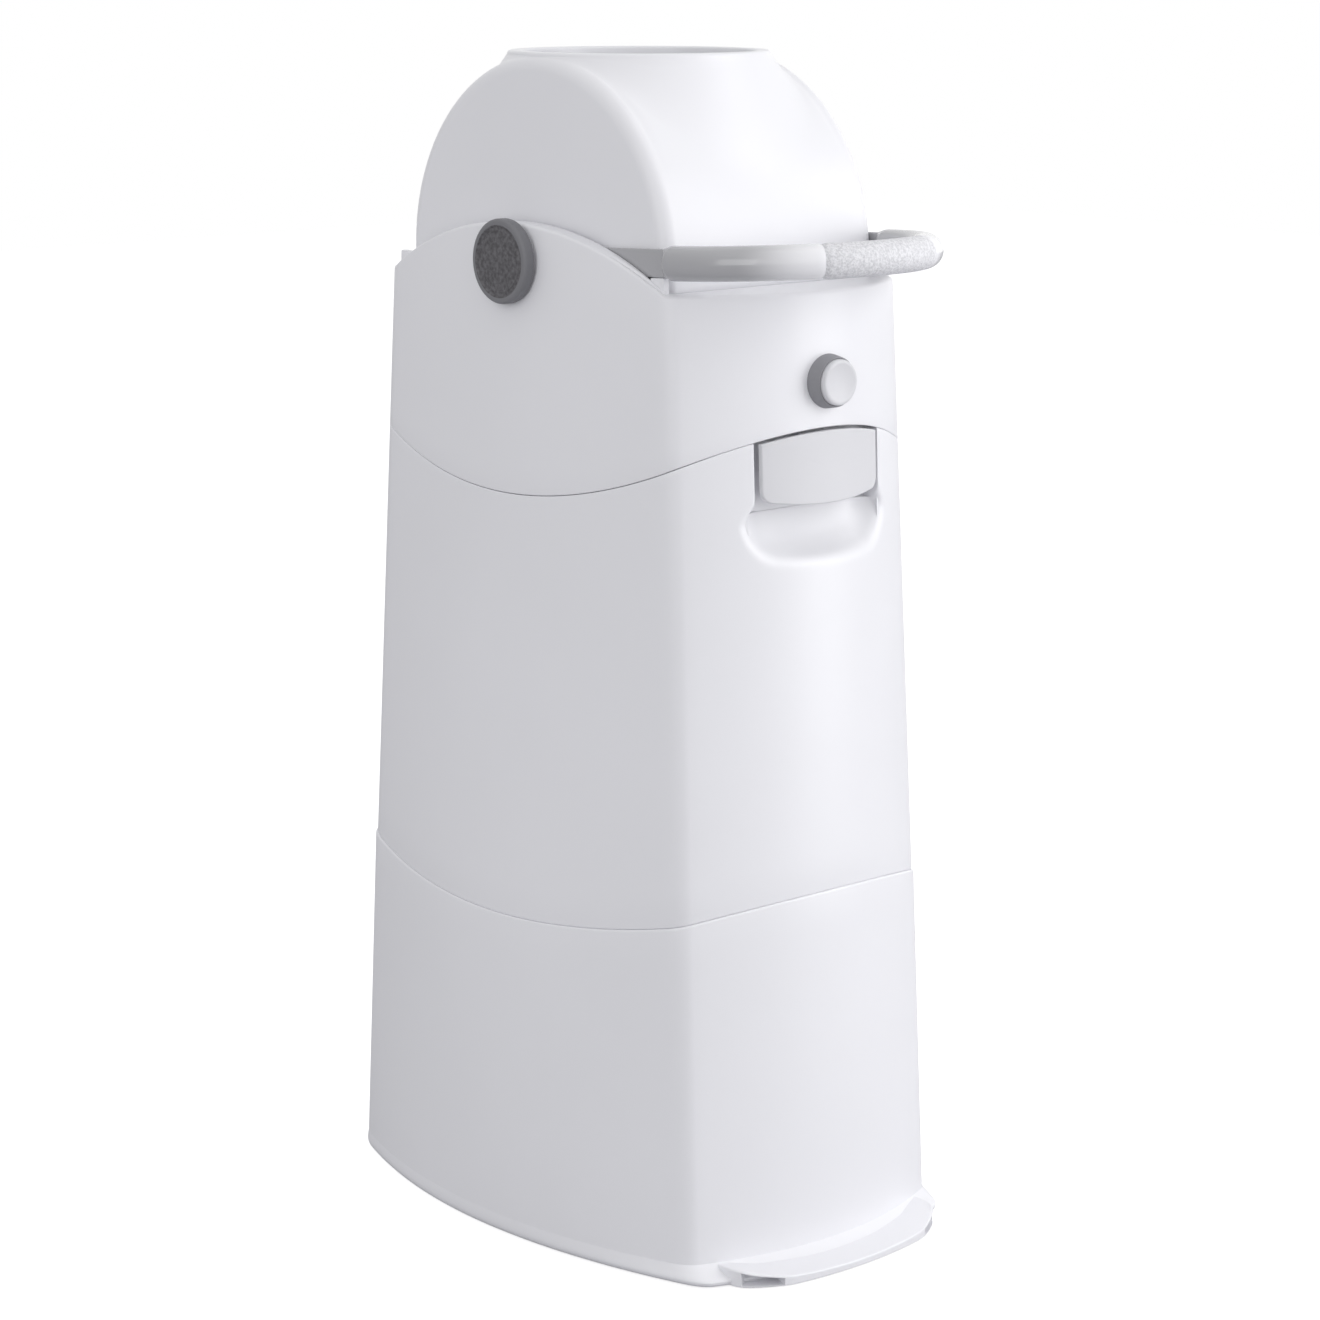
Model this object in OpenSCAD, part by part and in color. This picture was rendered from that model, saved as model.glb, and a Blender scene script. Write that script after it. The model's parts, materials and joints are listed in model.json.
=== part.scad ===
// Nappy bin with a domed top, a tip-over handle and a gravity piston.
// Millimetres, +Z up, front towards -Y, origin on the floor below the hub axis.

/* [Body] */
// Width between the corners at the floor
base_w = 201; // [195:1:215]
// Depth between the corners at the floor
base_d = 316; // [306:1:330]
// Width between the corners at the shoulder
top_w = 182; // [181:0.5:186]
// Depth between the corners at the shoulder
top_d = 254; // [252:1:262]
// Height of the shoulder that carries the dome
shoulder_z = 580; // [576:1:582]
// How far the sides bow out at the floor
side_bow_base = 32; // [24:1:36]
// How far the sides bow out at the shoulder
side_bow_top = 10; // [9:0.5:14]
// How far the front and back bow out at the floor
front_bow_base = 22; // [16:1:28]
// How far the front and back bow out at the shoulder
front_bow_top = 36; // [34:1:38]
// Share of each side that is left before its rounded corner
corner_share = 0.93; // [0.88:0.01:0.96]
// Wall thickness of every moulded shell
wall = 2.5; // [2:0.1:3]

/* [Seams] */
// Height of the lower seam at the corners
lower_seam_z = 216; // [190:1:240]
// Rise of the lower seam at the middle of the front
lower_seam_rise = 11; // [0:1:20]
// Dip of the lower seam at the middle of the sides
lower_seam_dip = 16; // [0:1:24]
// Height of the upper seam at the corners
upper_seam_z = 481; // [478:1:484]
// Rise of the upper seam at the middle of the front
upper_seam_rise = 20.5; // [18:0.5:23]
// Dip of the upper seam at the middle of the sides
upper_seam_dip = 26; // [16:1:30]
// Gap between the hood and the body below it
seam_gap = 0.3; // [0.2:0.05:0.5]

/* [Base] */
// Height of the plinth
plinth_h = 12; // [10:1:18]
// How far the plinth stands out past the wall in front
plinth_flare = 12; // [8:0.5:14]
// How far the plinth stands proud at the sides and back
plinth_lip = 1; // [0:0.5:3]
// How far the plinth's lower edge at the sides and back is tucked in
plinth_tuck = 4.5; // [2:0.5:5]
// Width of the toe plate at its front edge
toe_w = 114; // [80:1:130]
// How far the toe plate stands out past the plinth
toe_reach = 13; // [8:1:20]
// Thickness of the toe plate
toe_t = 8; // [5:0.5:9]
// Radius of a rubber foot
foot_r = 10; // [7:0.5:12]
// Height of a rubber foot
foot_h = 4; // [3:0.5:5]
// How far the feet hold the plinth off the floor
foot_drop = 1; // [0.5:0.1:1.5]

/* [Dome] */
// Height of the axis that the handle turns about
hub_z = 591.6; // [590:0.1:593]
// Radius of the dome about that axis
dome_r = 118.5; // [117:0.5:119]
// Width of the dome
dome_w = 167; // [166:0.5:168]
// Radius of the dome's side edges
dome_edge_r = 9; // [5:0.5:12]
// How far the rim of the mouth stands above the dome
collar_rise = 1.4; // [1:0.2:3]
// Outer radius of the rim of the mouth
rim_r = 79; // [77.5:0.5:80]
// Radius of the mouth
mouth_r = 70; // [68.5:0.5:71]
// Height of the top of the arched cheeks
cheek_top = 614; // [613:1:616]
// Radius of the arch along the top of each cheek
arch_r = 247; // [244:1:250]
// Width of the slot between the dome and each cheek
slot_w = 4.5; // [4.2:0.1:5]

/* [Barrel] */
// Gap between the barrel and the dome, where the seals sit
seal_gap = 2.5; // [2:0.1:3]
// Gap between the barrel's ends and the dome's sides
end_gap = 3; // [2.8:0.1:3.4]
// Radius of the bore through the barrel
bore_r = 66; // [64:0.5:67]
// Width of the lip that stops the piston at each mouth of the bore
lip_w = 3; // [2:0.5:4]
// How far each piston lip stands in from the barrel's outside
lip_back = 34; // [32:1:38]
// Thickness of a piston lip
lip_t = 2.5; // [2:0.25:3]
// Radius of the trunnions that carry the barrel
trunnion_r = 13; // [12:0.5:13.5]

/* [Piston] */
// Height of the whole piston
piston_h = 50; // [45:1:60]
// Radius of the piston's shell
piston_r = 65; // [64.6:0.1:65.2]
// Thickness of the piston's cover and floor
piston_plate = 4; // [3:0.5:6]
// Height of a wiper seal
wiper_h = 4; // [3:0.5:5]
// Radius of the steel weight inside the piston
weight_r = 42; // [30:1:42]
// Height of the steel weight
weight_h = 14; // [8:1:20]

/* [Handle] */
// Diameter of the handle's tube
handle_tube = 20; // [18:0.5:21]
// Distance of the handle's arms from the middle
handle_r = 85; // [84:0.5:90]
// How far forward of the hub the arms start to curve
handle_y = 123; // [122:0.5:128]
// Angle of the handle above level when it rests
handle_lift = 2.8; // [2.6:0.1:3.4]
// Half the angle of the curve that the soft grip covers
grip_half = 27.5; // [20:0.5:40]
// Diameter of the rod inside the grip
core_d = 12; // [9:0.5:13]
// Thickness of the flat strap in the slot
strap_t = 3; // [2.5:0.1:3.2]
// Height of the flat strap
strap_h = 16; // [12:0.5:17]
// Radius of the strap's eye around the hub
eye_r = 20; // [18:0.5:22]
// Radius of a hub cap
cap_r = 25; // [22:0.5:26]
// Thickness of a hub cap
cap_t = 7.5; // [7:0.5:12]
// Outer radius of a hub cap's stem
cap_stem_r = 8; // [7:0.25:8.25]

/* [Latch] */
// Width of the latch flap
flap_w = 92; // [80:1:96]
// Height of the middle of the flap's lower edge
flap_bottom = 457.5; // [456:0.5:462]
// How much higher the flap's lower edge is at its ends
flap_bow = 4; // [0:0.5:8]
// Radius of the flap's lower corners
flap_corner = 6; // [3:0.5:10]
// Thickness of the flap
flap_t = 3; // [2.5:0.1:3.5]
// How far the flap stands proud of the front
flap_proud = 1; // [0:0.1:1.5]
// Gap between the flap and the hood above it
flap_gap = 3; // [2.6:0.1:3.5]
// Gap at each side of the flap
pocket_side = 3.5; // [3:0.5:8]
// Depth of the pocket behind the middle of the flap
pocket_depth = 21; // [19:0.5:24]
// Radius of the rounded scoop under the flap
scoop_r = 28; // [22:1:30]
// Diameter of the latch pin
latch_pin_d = 3; // [2.5:0.25:3.5]

/* [Button] */
// Height of the button's axis
button_z = 528; // [520:1:532]
// Diameter of the button's face
button_d = 26.6; // [24:0.2:28]
// How far the button's face stands out past the bezel
button_proud = 3; // [2.6:0.2:5]
// Width of the bezel ring at its foot
bezel_w = 2.5; // [2.2:0.1:5]
// How far the bezel stands out
bezel_t = 7; // [5:0.5:10]
// Length of the spring behind the button
spring_l = 8; // [7.5:0.5:12]

/* [Hinge] */
// Radius of a hinge knuckle
knuckle_r = 6; // [5:0.5:7]
// Diameter of the hinge pin
hinge_pin_d = 5; // [4:0.5:6]
// Half the length of the hinge
hinge_half = 44; // [40:1:50]

/* [Bag ring] */
// Height of the ledge that carries the bag ring
ledge_z = 402; // [380:1:408]
// How far the ledge stands in from the wall
ledge_w = 6; // [4:0.5:8]
// Width of the bag ring
ring_w = 14; // [10:1:20]
// Height of the bag ring
ring_h = 7; // [5:0.5:10]

/* [Hidden] */
$fn = 96;

white = [0.93, 0.93, 0.95];
inner_white = [0.88, 0.88, 0.9];
pale_grey = [0.82, 0.82, 0.84];
mid_grey = [0.62, 0.62, 0.65];
dark_grey = [0.33, 0.33, 0.35];
steel = [0.7, 0.71, 0.73];

tight = 0.03;
running = 0.05;
rest_gap = 0.3;
reach = 400;

// Body outline: half sizes and bows change evenly from the floor to the shoulder
function mix(a, b, t) = a + (b - a) * t;
function half_w(z) = mix(base_w, top_w, z / shoulder_z) / 2;
function half_d(z) = mix(base_d, top_d, z / shoulder_z) / 2;
function side_bow(z) = mix(side_bow_base, side_bow_top, z / shoulder_z);
function front_bow(z) = mix(front_bow_base, front_bow_top, z / shoulder_z);
function wall_x(y, z) = half_w(z) + side_bow(z) * (1 - pow(y / half_d(z), 2));
function wall_y(x, z) = half_d(z) + front_bow(z) * (1 - pow(x / half_w(z), 2));

// A point of the outline is held as four shares: of half width, half depth, side bow, front bow
side_steps = 12;
corner_steps = 4;
side_shares = [for (i = [0:side_steps]) corner_share * (2 * i / side_steps - 1)];
function side_point(k, t) = [[t, -1, 0, t * t - 1], [1, t, 1 - t * t, 0],
    [-t, 1, 0, 1 - t * t], [-1, -t, t * t - 1, 0]][k];
corner_points = [[1, -1, 0, 0], [1, 1, 0, 0], [-1, 1, 0, 0], [-1, -1, 0, 0]];
function corner_point(k, u) = pow(1 - u, 2) * side_point(k, corner_share)
    + 2 * u * (1 - u) * corner_points[k] + u * u * side_point((k + 1) % 4, -corner_share);
outline = [for (k = [0:3]) each concat([for (t = side_shares) side_point(k, t)],
    [for (i = [1:corner_steps - 1]) corner_point(k, i / corner_steps)])];
around = len(outline);

function outline_point(s, z, inset) = [s[0] * (half_w(z) - inset) + s[2] * side_bow(z),
    s[1] * (half_d(z) - inset) + s[3] * front_bow(z), z];
function ring(z, inset = 0, rise = 0, dip = 0) = [for (s = outline)
    outline_point(s, z + rise * abs(s[3]) - dip * abs(s[2]), inset)];
function lower_seam(offset, inset) = ring(lower_seam_z + offset, inset, lower_seam_rise, lower_seam_dip);
function upper_seam(offset, inset) = ring(upper_seam_z + offset, inset, upper_seam_rise, upper_seam_dip);

function band(a, b, i) = [[a + i, a + (i + 1) % around, b + (i + 1) % around],
    [a + i, b + (i + 1) % around, b + i]];

// Solid between rings stacked upwards, closed by a fan at each end
module stack(rings) {
    n = len(rings);
    low = n * around;
    points = concat([for (r = rings) each r],
        [[0, 0, max([for (p = rings[0]) p.z])], [0, 0, max([for (p = rings[n - 1]) p.z])]]);
    faces = concat([for (k = [0:n - 2], i = [0:around - 1]) each band((k + 1) * around, k * around, i)],
        [for (i = [0:around - 1]) [low, i, (i + 1) % around]],
        [for (i = [0:around - 1])
            [low + 1, (n - 1) * around + (i + 1) % around, (n - 1) * around + i]]);
    polyhedron(points, faces, convexity = 8);
}

// Closed wall through rings listed up the outside and down the inside
module hoop(rings) {
    n = len(rings);
    faces = [for (k = [0:n - 1], i = [0:around - 1])
        each band(((k + 1) % n) * around, k * around, i)];
    polyhedron([for (r = rings) each r], faces, convexity = 8);
}

module rod_x(r, x0, x1) {
    translate([x0, 0, 0]) rotate([0, 90, 0]) cylinder(r = r, h = x1 - x0);
}

module rod_y(r, y0, y1) {
    translate([0, y0, 0]) rotate([-90, 0, 0]) cylinder(r = r, h = y1 - y0);
}

module block(low, high) {
    translate(low) cube(high - low);
}

module both_sides() {
    children();
    mirror([1, 0, 0]) children();
}

module at_hub() {
    translate([0, 0, hub_z]) children();
}

// Everything that turns with the handle is drawn level and set down at its rest angle
module at_rest() {
    at_hub() rotate([-handle_lift, 0, 0]) children();
}

// Base
plinth_top = plinth_h;
tub_floor = plinth_top + wall;
foot_x = 72;
foot_y = 122;
screw_x = 60;
screw_y = 100;
boss_r = 5;
screw_r = 1.5;
head_r = 3;
head_h = 2;
plinth_screw_l = 14;
screw_seat = foot_drop + wall + 1;

module foot_places() {
    children();
    for (sx = [-1, 1], sy = [-1, 1]) translate([sx * foot_x, sy * foot_y, 0]) children();
}

module plinth_screw_places() {
    for (sx = [-1, 1], sy = [-1, 1]) translate([sx * screw_x, sy * screw_y, 0]) children();
}

toe_half = toe_w / 2;
toe_splay = 15;
toe_root = half_d(0) - 10;
toe_front = half_d(0) + front_bow(0) + plinth_flare + toe_reach;
toe_bow = 7;
toe_outline = concat([[-toe_half - toe_splay, -toe_root]],
    [for (i = [-8:8]) [toe_half * i / 8, -toe_front + toe_bow * pow(i / 8, 2)]],
    [[toe_half + toe_splay, -toe_root]]);

// Profile of the plinth from the floor up: share of its height, of its flare and of its tuck
plinth_profile = [[0, 0.88, 1], [0.1, 1, 0.6], [0.36, 1, 0.15], [0.55, 0.66, 0],
    [0.76, 0.36, 0], [1, 0.14, 0]];

function plinth_ring(p) = let (side = p[1] * plinth_lip - p[2] * plinth_tuck)
    [for (s = outline) outline_point(s, mix(foot_drop, plinth_top, p[0]), 0)
        + [s[0] * side, s[1] * (s[1] < 0 ? p[1] * plinth_flare : side), 0]];

module base_plinth() color(white) difference() {
    union() {
        stack([for (p = plinth_profile) plinth_ring(p)]);
        translate([0, 0, foot_drop]) linear_extrude(toe_t - foot_drop) polygon(toe_outline);
    }
    difference() {
        stack([ring(foot_drop + wall, 8), ring(plinth_top + 1, 8)]);
        foot_places() cylinder(r = foot_r + 3, h = foot_h + wall);
        plinth_screw_places() cylinder(r = head_r + 3, h = plinth_top);
    }
    foot_places() translate([0, 0, -1]) cylinder(r = foot_r + tight, h = foot_h + 1);
    plinth_screw_places() {
        translate([0, 0, -1]) cylinder(r = head_r + 0.5, h = screw_seat + 1);
        cylinder(r = screw_r + 0.2, h = plinth_top + 1);
    }
}

module plinth_screws() color(steel) plinth_screw_places() {
    translate([0, 0, screw_seat - head_h]) cylinder(r = head_r, h = head_h);
    translate([0, 0, screw_seat - 0.01]) cylinder(r = screw_r, h = plinth_screw_l);
}

module rubber_feet() color(dark_grey) foot_places() cylinder(r = foot_r, h = foot_h);

// Tub and sleeve, pushed together along the lower seam
joint_lip = 12;
tub_step = 0.8;
lip_inset = wall + 0.1;
sleeve_mid = (lower_seam_z + upper_seam_z) / 2;

module lower_tub() color(white) difference() {
    union() {
        stack([ring(plinth_top), ring(lower_seam_z / 2, -tub_step / 2), lower_seam(0, -tub_step),
            lower_seam(0, lip_inset),
            lower_seam(joint_lip, lip_inset), lower_seam(joint_lip, 2 * wall),
            lower_seam(-joint_lip, 2 * wall), lower_seam(-joint_lip - wall, wall),
            ring(lower_seam_z / 2, wall), ring(tub_floor, wall)]);
        plinth_screw_places() translate([0, 0, plinth_top]) cylinder(r = boss_r, h = wall + 11);
    }
    plinth_screw_places() translate([0, 0, plinth_top - 1]) cylinder(r = screw_r + tight, h = wall + 9);
}

// Latch pocket and finger scoop in the front of the sleeve
front_y = wall_y(0, upper_seam_z);
pocket_half = flap_w / 2 + pocket_side;
pocket_back = front_y - pocket_depth;
pocket_bottom = flap_bottom - 3.5;
scoop_step = 0.6;
scoop_y = pocket_back + scoop_r + scoop_step;
scoop_half = pocket_half - scoop_r + 12;
latch_pin_r = latch_pin_d / 2;
latch_back = 9;
latch_y = latch_back - front_y;
latch_z = upper_seam_z + 10;
lug_x = 20;
lug_w = 5;
lug_r = 3.5;
bracket_x = lug_x + lug_w + rest_gap;
bracket_w = 4;
bracket_r = 2.8;

module scoop() {
    translate([0, -scoop_y, pocket_bottom]) rotate([0, 90, 0]) rotate_extrude() intersection() {
        translate([0, -reach]) square([scoop_r + 1, 2 * reach]);
        union() {
            translate([0, -scoop_half]) square([scoop_r, 2 * scoop_half]);
            for (s = [-1, 1]) translate([0, s * scoop_half]) circle(scoop_r);
        }
    }
}

module latch_bracket() {
    difference() {
        union() {
            block([bracket_x, latch_y, latch_z - bracket_r],
                [bracket_x + bracket_w, -pocket_back + wall, latch_z + bracket_r]);
            translate([0, latch_y, latch_z]) rod_x(bracket_r, bracket_x, bracket_x + bracket_w);
        }
        translate([0, latch_y, latch_z]) rod_x(latch_pin_r + tight, bracket_x - 1, bracket_x + bracket_w + 1);
    }
}

// Rear hinge, with knuckles moulded on the sleeve and on the hood
hinge_z = upper_seam_z + upper_seam_rise - 1.5;
hinge_y = wall_y(0, hinge_z) + knuckle_r + 1.5;
hinge_pin_r = hinge_pin_d / 2;
knuckle_gap = 0.4;
knuckle_cuts = [12, 32];
sleeve_knuckles = [[-hinge_half, -knuckle_cuts[1]], [-knuckle_cuts[0], knuckle_cuts[0]],
    [knuckle_cuts[1], hinge_half]];
hood_knuckles = [[-knuckle_cuts[1], -knuckle_cuts[0]], [knuckle_cuts[0], knuckle_cuts[1]]];

leaf_t = 2;
leaf_h = 16;
leaf_gap = 0.1;

module knuckle(span, up, bore) {
    x0 = span[0] + knuckle_gap / 2;
    x1 = span[1] - knuckle_gap / 2;
    web_t = 3.5;
    web_z = hinge_z + (up ? knuckle_r - 0.3 - web_t : 0.3 - knuckle_r);
    difference() {
        union() {
            translate([0, hinge_y, hinge_z]) rod_x(knuckle_r, x0, x1);
            block([x0, hinge_y - knuckle_r - 5, web_z], [x1, hinge_y, web_z + web_t]);
        }
        translate([0, hinge_y, hinge_z]) rod_x(bore, x0 - 1, x1 + 1);
        stack([ring(hinge_z - 2 * leaf_h, -leaf_gap), ring(hinge_z + 2 * leaf_h, -leaf_gap)]);
    }
}

// Plate that follows the back wall, from x = -half to half and between two heights
module leaf(half, low, high) {
    intersection() {
        difference() {
            stack([ring(low - 5, -leaf_gap - leaf_t), ring(high + 5, -leaf_gap - leaf_t)]);
            stack([ring(low - 6, -leaf_gap), ring(high + 6, -leaf_gap)]);
        }
        block([-half, 0, low], [half, reach, high]);
    }
}

module hinge_lower() color(white) {
    leaf(hinge_half, hinge_z - leaf_h, hinge_z - 2.4);
    for (k = sleeve_knuckles) knuckle(k, false, hinge_pin_r + tight);
}

module hinge_upper() color(white) {
    leaf(knuckle_cuts[1], hinge_z + 2.4, hinge_z + leaf_h);
    for (k = hood_knuckles) knuckle(k, true, hinge_pin_r + running);
}

module upper_sleeve() color(white) {
    difference() {
        union() {
            hoop([lower_seam(tight, 0), ring(sleeve_mid, 0), upper_seam(-seam_gap, 0),
                upper_seam(-seam_gap, wall), ring(ledge_z + wall, wall),
                ring(ledge_z + wall, wall + ledge_w), ring(ledge_z, wall + ledge_w),
                ring(ledge_z - ledge_w, wall), ring(sleeve_mid, wall),
                lower_seam(joint_lip, wall), lower_seam(tight, wall)]);
            intersection() {
                stack([ring(ledge_z - 40, wall / 2), upper_seam(-seam_gap, wall / 2)]);
                block([-pocket_half - wall, -reach, pocket_bottom - scoop_r - wall],
                    [pocket_half + wall, -pocket_back + wall, reach * 2]);
            }
        }
        block([-pocket_half, -reach, pocket_bottom], [pocket_half, -pocket_back, reach * 2]);
        scoop();
    }
    both_sides() latch_bracket();
}

module bag_ring() color(pale_grey) {
    foot = ledge_z + wall;
    outer = wall + 1;
    hoop([ring(foot, outer), ring(foot + ring_h, outer), ring(foot + ring_h, outer + 4),
        ring(foot + wall, outer + 4), ring(foot + wall, outer + ring_w), ring(foot, outer + ring_w)]);
}

module hinge_pin() color(steel) translate([0, hinge_y, hinge_z]) {
    rod_x(hinge_pin_r, -hinge_half - 1, hinge_half);
    rod_x(hinge_pin_r + 1.5, -hinge_half - 2.5, -hinge_half - rest_gap);
}

module latch_pin() color(steel) translate([0, latch_y, latch_z]) {
    rod_x(latch_pin_r, -bracket_x - bracket_w, bracket_x + bracket_w);
}

hook_half = 9;
hook_t = 2.5;
hook_nose = 1.5;
hook_plate_t = 3;
hook_y = latch_y + 3;
hook_z = upper_seam_z + upper_seam_rise + 2 * hook_plate_t;
catch_gap = 0.6;
catch_half = hook_half + 4;

module latch_spring() color(steel) translate([0, latch_y, latch_z]) difference() {
    rod_x(latch_pin_r + 1.6, hook_half + 2, lug_x - 1);
    rod_x(latch_pin_r + 0.2, hook_half + 1, lug_x);
}

// Latch flap, a curved panel with two lugs and a hook
function flap_top(x) = upper_seam_z + upper_seam_rise * (1 - pow(x / half_w(upper_seam_z), 2)) - flap_gap;
function corner_lift(x) = flap_corner - sqrt(pow(flap_corner, 2)
    - pow(max(0, abs(x) - flap_w / 2 + flap_corner), 2));
function flap_low(x) = flap_bottom + flap_bow * pow(2 * x / flap_w, 2) + corner_lift(x);
flap_steps = 24;
flap_xs = [for (i = [0:flap_steps]) flap_w / 2 * sin(-90 + 180 * i / flap_steps)];
flap_outline = concat([for (x = flap_xs) [x, flap_low(x)]],
    [for (i = [flap_steps:-1:0]) [flap_xs[i], flap_top(flap_xs[i])]]);

module latch_flap() color(pale_grey) {
    low = flap_bottom - flap_t;
    high = upper_seam_z + 2 * upper_seam_rise;
    intersection() {
        difference() {
            stack([ring(low, -flap_proud), ring(high, -flap_proud)]);
            stack([ring(low - 1, flap_t - flap_proud), ring(high + 1, flap_t - flap_proud)]);
        }
        rotate([90, 0, 0]) linear_extrude(reach) polygon(flap_outline);
    }
    both_sides() difference() {
        union() {
            block([lug_x, -wall_y(lug_x, latch_z) + 1, latch_z - lug_r],
                [lug_x + lug_w, latch_y, latch_z + lug_r]);
            translate([0, latch_y, latch_z]) rod_x(lug_r, lug_x, lug_x + lug_w);
        }
        translate([0, latch_y, latch_z]) rod_x(latch_pin_r + running, lug_x - 1, lug_x + lug_w + 1);
    }
    arm_y = hook_y + hook_nose;
    block([-hook_half, -front_y + 1, latch_z - 2 * hook_plate_t],
        [hook_half, arm_y + hook_t, latch_z - hook_plate_t]);
    block([-hook_half, arm_y, latch_z - 2 * hook_plate_t], [hook_half, arm_y + hook_t, hook_z]);
    block([-hook_half, hook_y, hook_z - hook_t], [hook_half, arm_y + hook_t, hook_z]);
}

// Dome, with straight walls below the hub axis
dome_half = dome_w / 2;
slot_x = dome_half + slot_w;
well_t = 1.8;
well_y = dome_r + 1.5;
well_z = shoulder_z - 21;
flange_t = 3;
rim_round = 2;
rim_rise = dome_r + collar_rise - rim_round;
rim_reach = norm([rim_r, rim_rise]);
tangent = atan2(rim_rise, rim_r) - acos(dome_r / rim_reach);
flare_r = dome_r * cos(tangent);
flare_z = dome_r * sin(tangent);
barrel_r = dome_r - wall - seal_gap;
barrel_half = dome_half - wall - end_gap;
lip_z = barrel_r - lip_back;

module rounded_drum(r, half, edge) {
    rotate([0, 90, 0]) rotate_extrude() {
        translate([0, -half]) square([r - edge, 2 * half]);
        translate([0, edge - half]) square([r, 2 * (half - edge)]);
        for (s = [-1, 1]) translate([r - edge, s * (half - edge)]) circle(edge, $fn = 20);
    }
}

module rounded_post(half_x, half_y, edge, z0, z1) {
    translate([0, 0, z0]) linear_extrude(z1 - z0) {
        square([2 * half_x, 2 * (half_y - edge)], center = true);
        square([2 * (half_x - edge), 2 * half_y], center = true);
        for (sx = [-1, 1], sy = [-1, 1])
            translate([sx * (half_x - edge), sy * (half_y - edge)]) circle(edge, $fn = 20);
    }
}

module dome_form(z0) {
    intersection() {
        rounded_drum(dome_r, dome_half, dome_edge_r);
        block([-reach, -reach, 0], [reach, reach, reach]);
    }
    rounded_post(dome_half, dome_r, dome_edge_r, z0, 0);
}

// Flange below the shoulder, with ears that reach the hood's posts
ear_x = 66;
ear_y = well_y + 17;
side_ear_x = slot_x + 8.5;
side_ear_y = 62;
post_r = 3.2;
posts = concat([for (sx = [-1, 1], sy = [-1, 1]) [sx * 52, sy * (well_y + 10.5)]],
    [for (sx = [-1, 1], sy = [-1, 1]) [sx * (slot_x + 5.3), sy * 50]]);

module flange(z0, z1, hole_x, hole_y) {
    difference() {
        intersection() {
            union() {
                block([-slot_x - well_t, -well_y - well_t, z0], [slot_x + well_t, well_y + well_t, z1]);
                block([-ear_x, -ear_y, z0], [ear_x, ear_y, z1]);
                block([-side_ear_x, -side_ear_y, z0], [side_ear_x, side_ear_y, z1]);
            }
            translate([0, 0, -hub_z]) hood_form(wall + rest_gap, 0);
        }
        block([-hole_x, -hole_y, z0 - 1], [hole_x, hole_y, z1 + 1]);
        for (p = posts) translate([p[0], p[1], z0 - 1]) cylinder(r = screw_r + 0.2, h = z1 - z0 + 2);
    }
}

flange_top = well_z - hub_z;
drum_gap_y = sqrt(pow(barrel_r, 2) - pow(min(0, flange_top), 2)) + 1.5;

module dome_shell() color(white) at_hub() difference() {
    union() {
        dome_form(flange_top - flange_t);
        intersection() {
            translate([0, 0, flare_z]) cylinder(r1 = flare_r, r2 = rim_r, h = rim_rise - flare_z);
            block([-dome_half + 0.5, -reach, 0], [dome_half - 0.5, reach, reach]);
        }
        translate([0, 0, rim_rise]) cylinder(r1 = rim_r, r2 = rim_r - rim_round, h = rim_round);
        flange(flange_top - flange_t, flange_top, 1, 1);
    }
    rounded_drum(dome_r - wall, dome_half - wall, dome_edge_r - wall);
    rounded_post(dome_half - wall, drum_gap_y, dome_edge_r - wall, flange_top - flange_t - 1, 0);
    rounded_post(dome_half - wall, dome_r - wall, dome_edge_r - wall, flange_top, 0);
    cylinder(r = mouth_r, h = reach);
    rod_x(bush_r + tight, -reach, reach);
}

bush_r = trunnion_r + 3;
bush_flange_r = trunnion_r + 6;

module hub_bush(s) color(mid_grey) at_hub() difference() {
    union() {
        rod_x(bush_r, s > 0 ? dome_half - wall - 1 : -dome_half - rest_gap, s > 0
            ? dome_half + rest_gap : wall + 1 - dome_half);
        rod_x(bush_flange_r, s > 0 ? barrel_half + rest_gap : wall - dome_half, s > 0
            ? dome_half - wall : -barrel_half - rest_gap);
    }
    rod_x(trunnion_r + running, -reach, reach);
}

module hub_bush_left() hub_bush(-1);
module hub_bush_right() hub_bush(1);

// Rubber ring in the gap between the barrel and the housing around it
seal_w = 5;

module barrel_seal(up) {
    difference() {
        intersection() {
            rounded_drum(dome_r - wall - tight, dome_half - wall - tight, dome_edge_r - wall);
            translate([0, 0, up ? 0 : -reach]) cylinder(r = mouth_r + seal_w, h = reach);
        }
        translate([0, 0, -reach]) cylinder(r = mouth_r, h = 2 * reach);
        rod_x(barrel_r + rest_gap, -reach, reach);
    }
}

module mouth_seal() color(dark_grey) at_hub() barrel_seal(true);
module outlet_seal() color(dark_grey) at_hub() barrel_seal(false);

// Lower half of the barrel's housing, screwed up under the dome's flange
outlet_drop = 6;

module lower_housing() color(inner_white) at_hub() difference() {
    top = flange_top - flange_t;
    union() {
        intersection() {
            rounded_drum(dome_r, dome_half, dome_edge_r);
            block([-reach, -reach, -reach], [reach, reach, top - 1]);
        }
        flange(top - flange_t, top, 1, 1);
        translate([0, 0, -dome_r - outlet_drop]) cylinder(r = mouth_r + wall, h = outlet_drop + 30);
    }
    rounded_drum(dome_r - wall, dome_half - wall, dome_edge_r - wall);
    rounded_post(dome_half - wall, drum_gap_y, dome_edge_r - wall, top - flange_t - 1, top + 1);
    translate([0, 0, -reach]) cylinder(r = mouth_r, h = reach);
}

hood_screw_l = 16;

module hood_screws() color(steel) for (p = posts) translate([p[0], p[1], well_z - 2 * flange_t]) {
    translate([0, 0, -head_h]) cylinder(r = head_r, h = head_h);
    translate([0, 0, -0.01]) cylinder(r = screw_r, h = hood_screw_l);
}

// Hood: bowed skirt, flat shoulder and a cheek with an arched top on each side
arch_z = cheek_top - arch_r;

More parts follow.
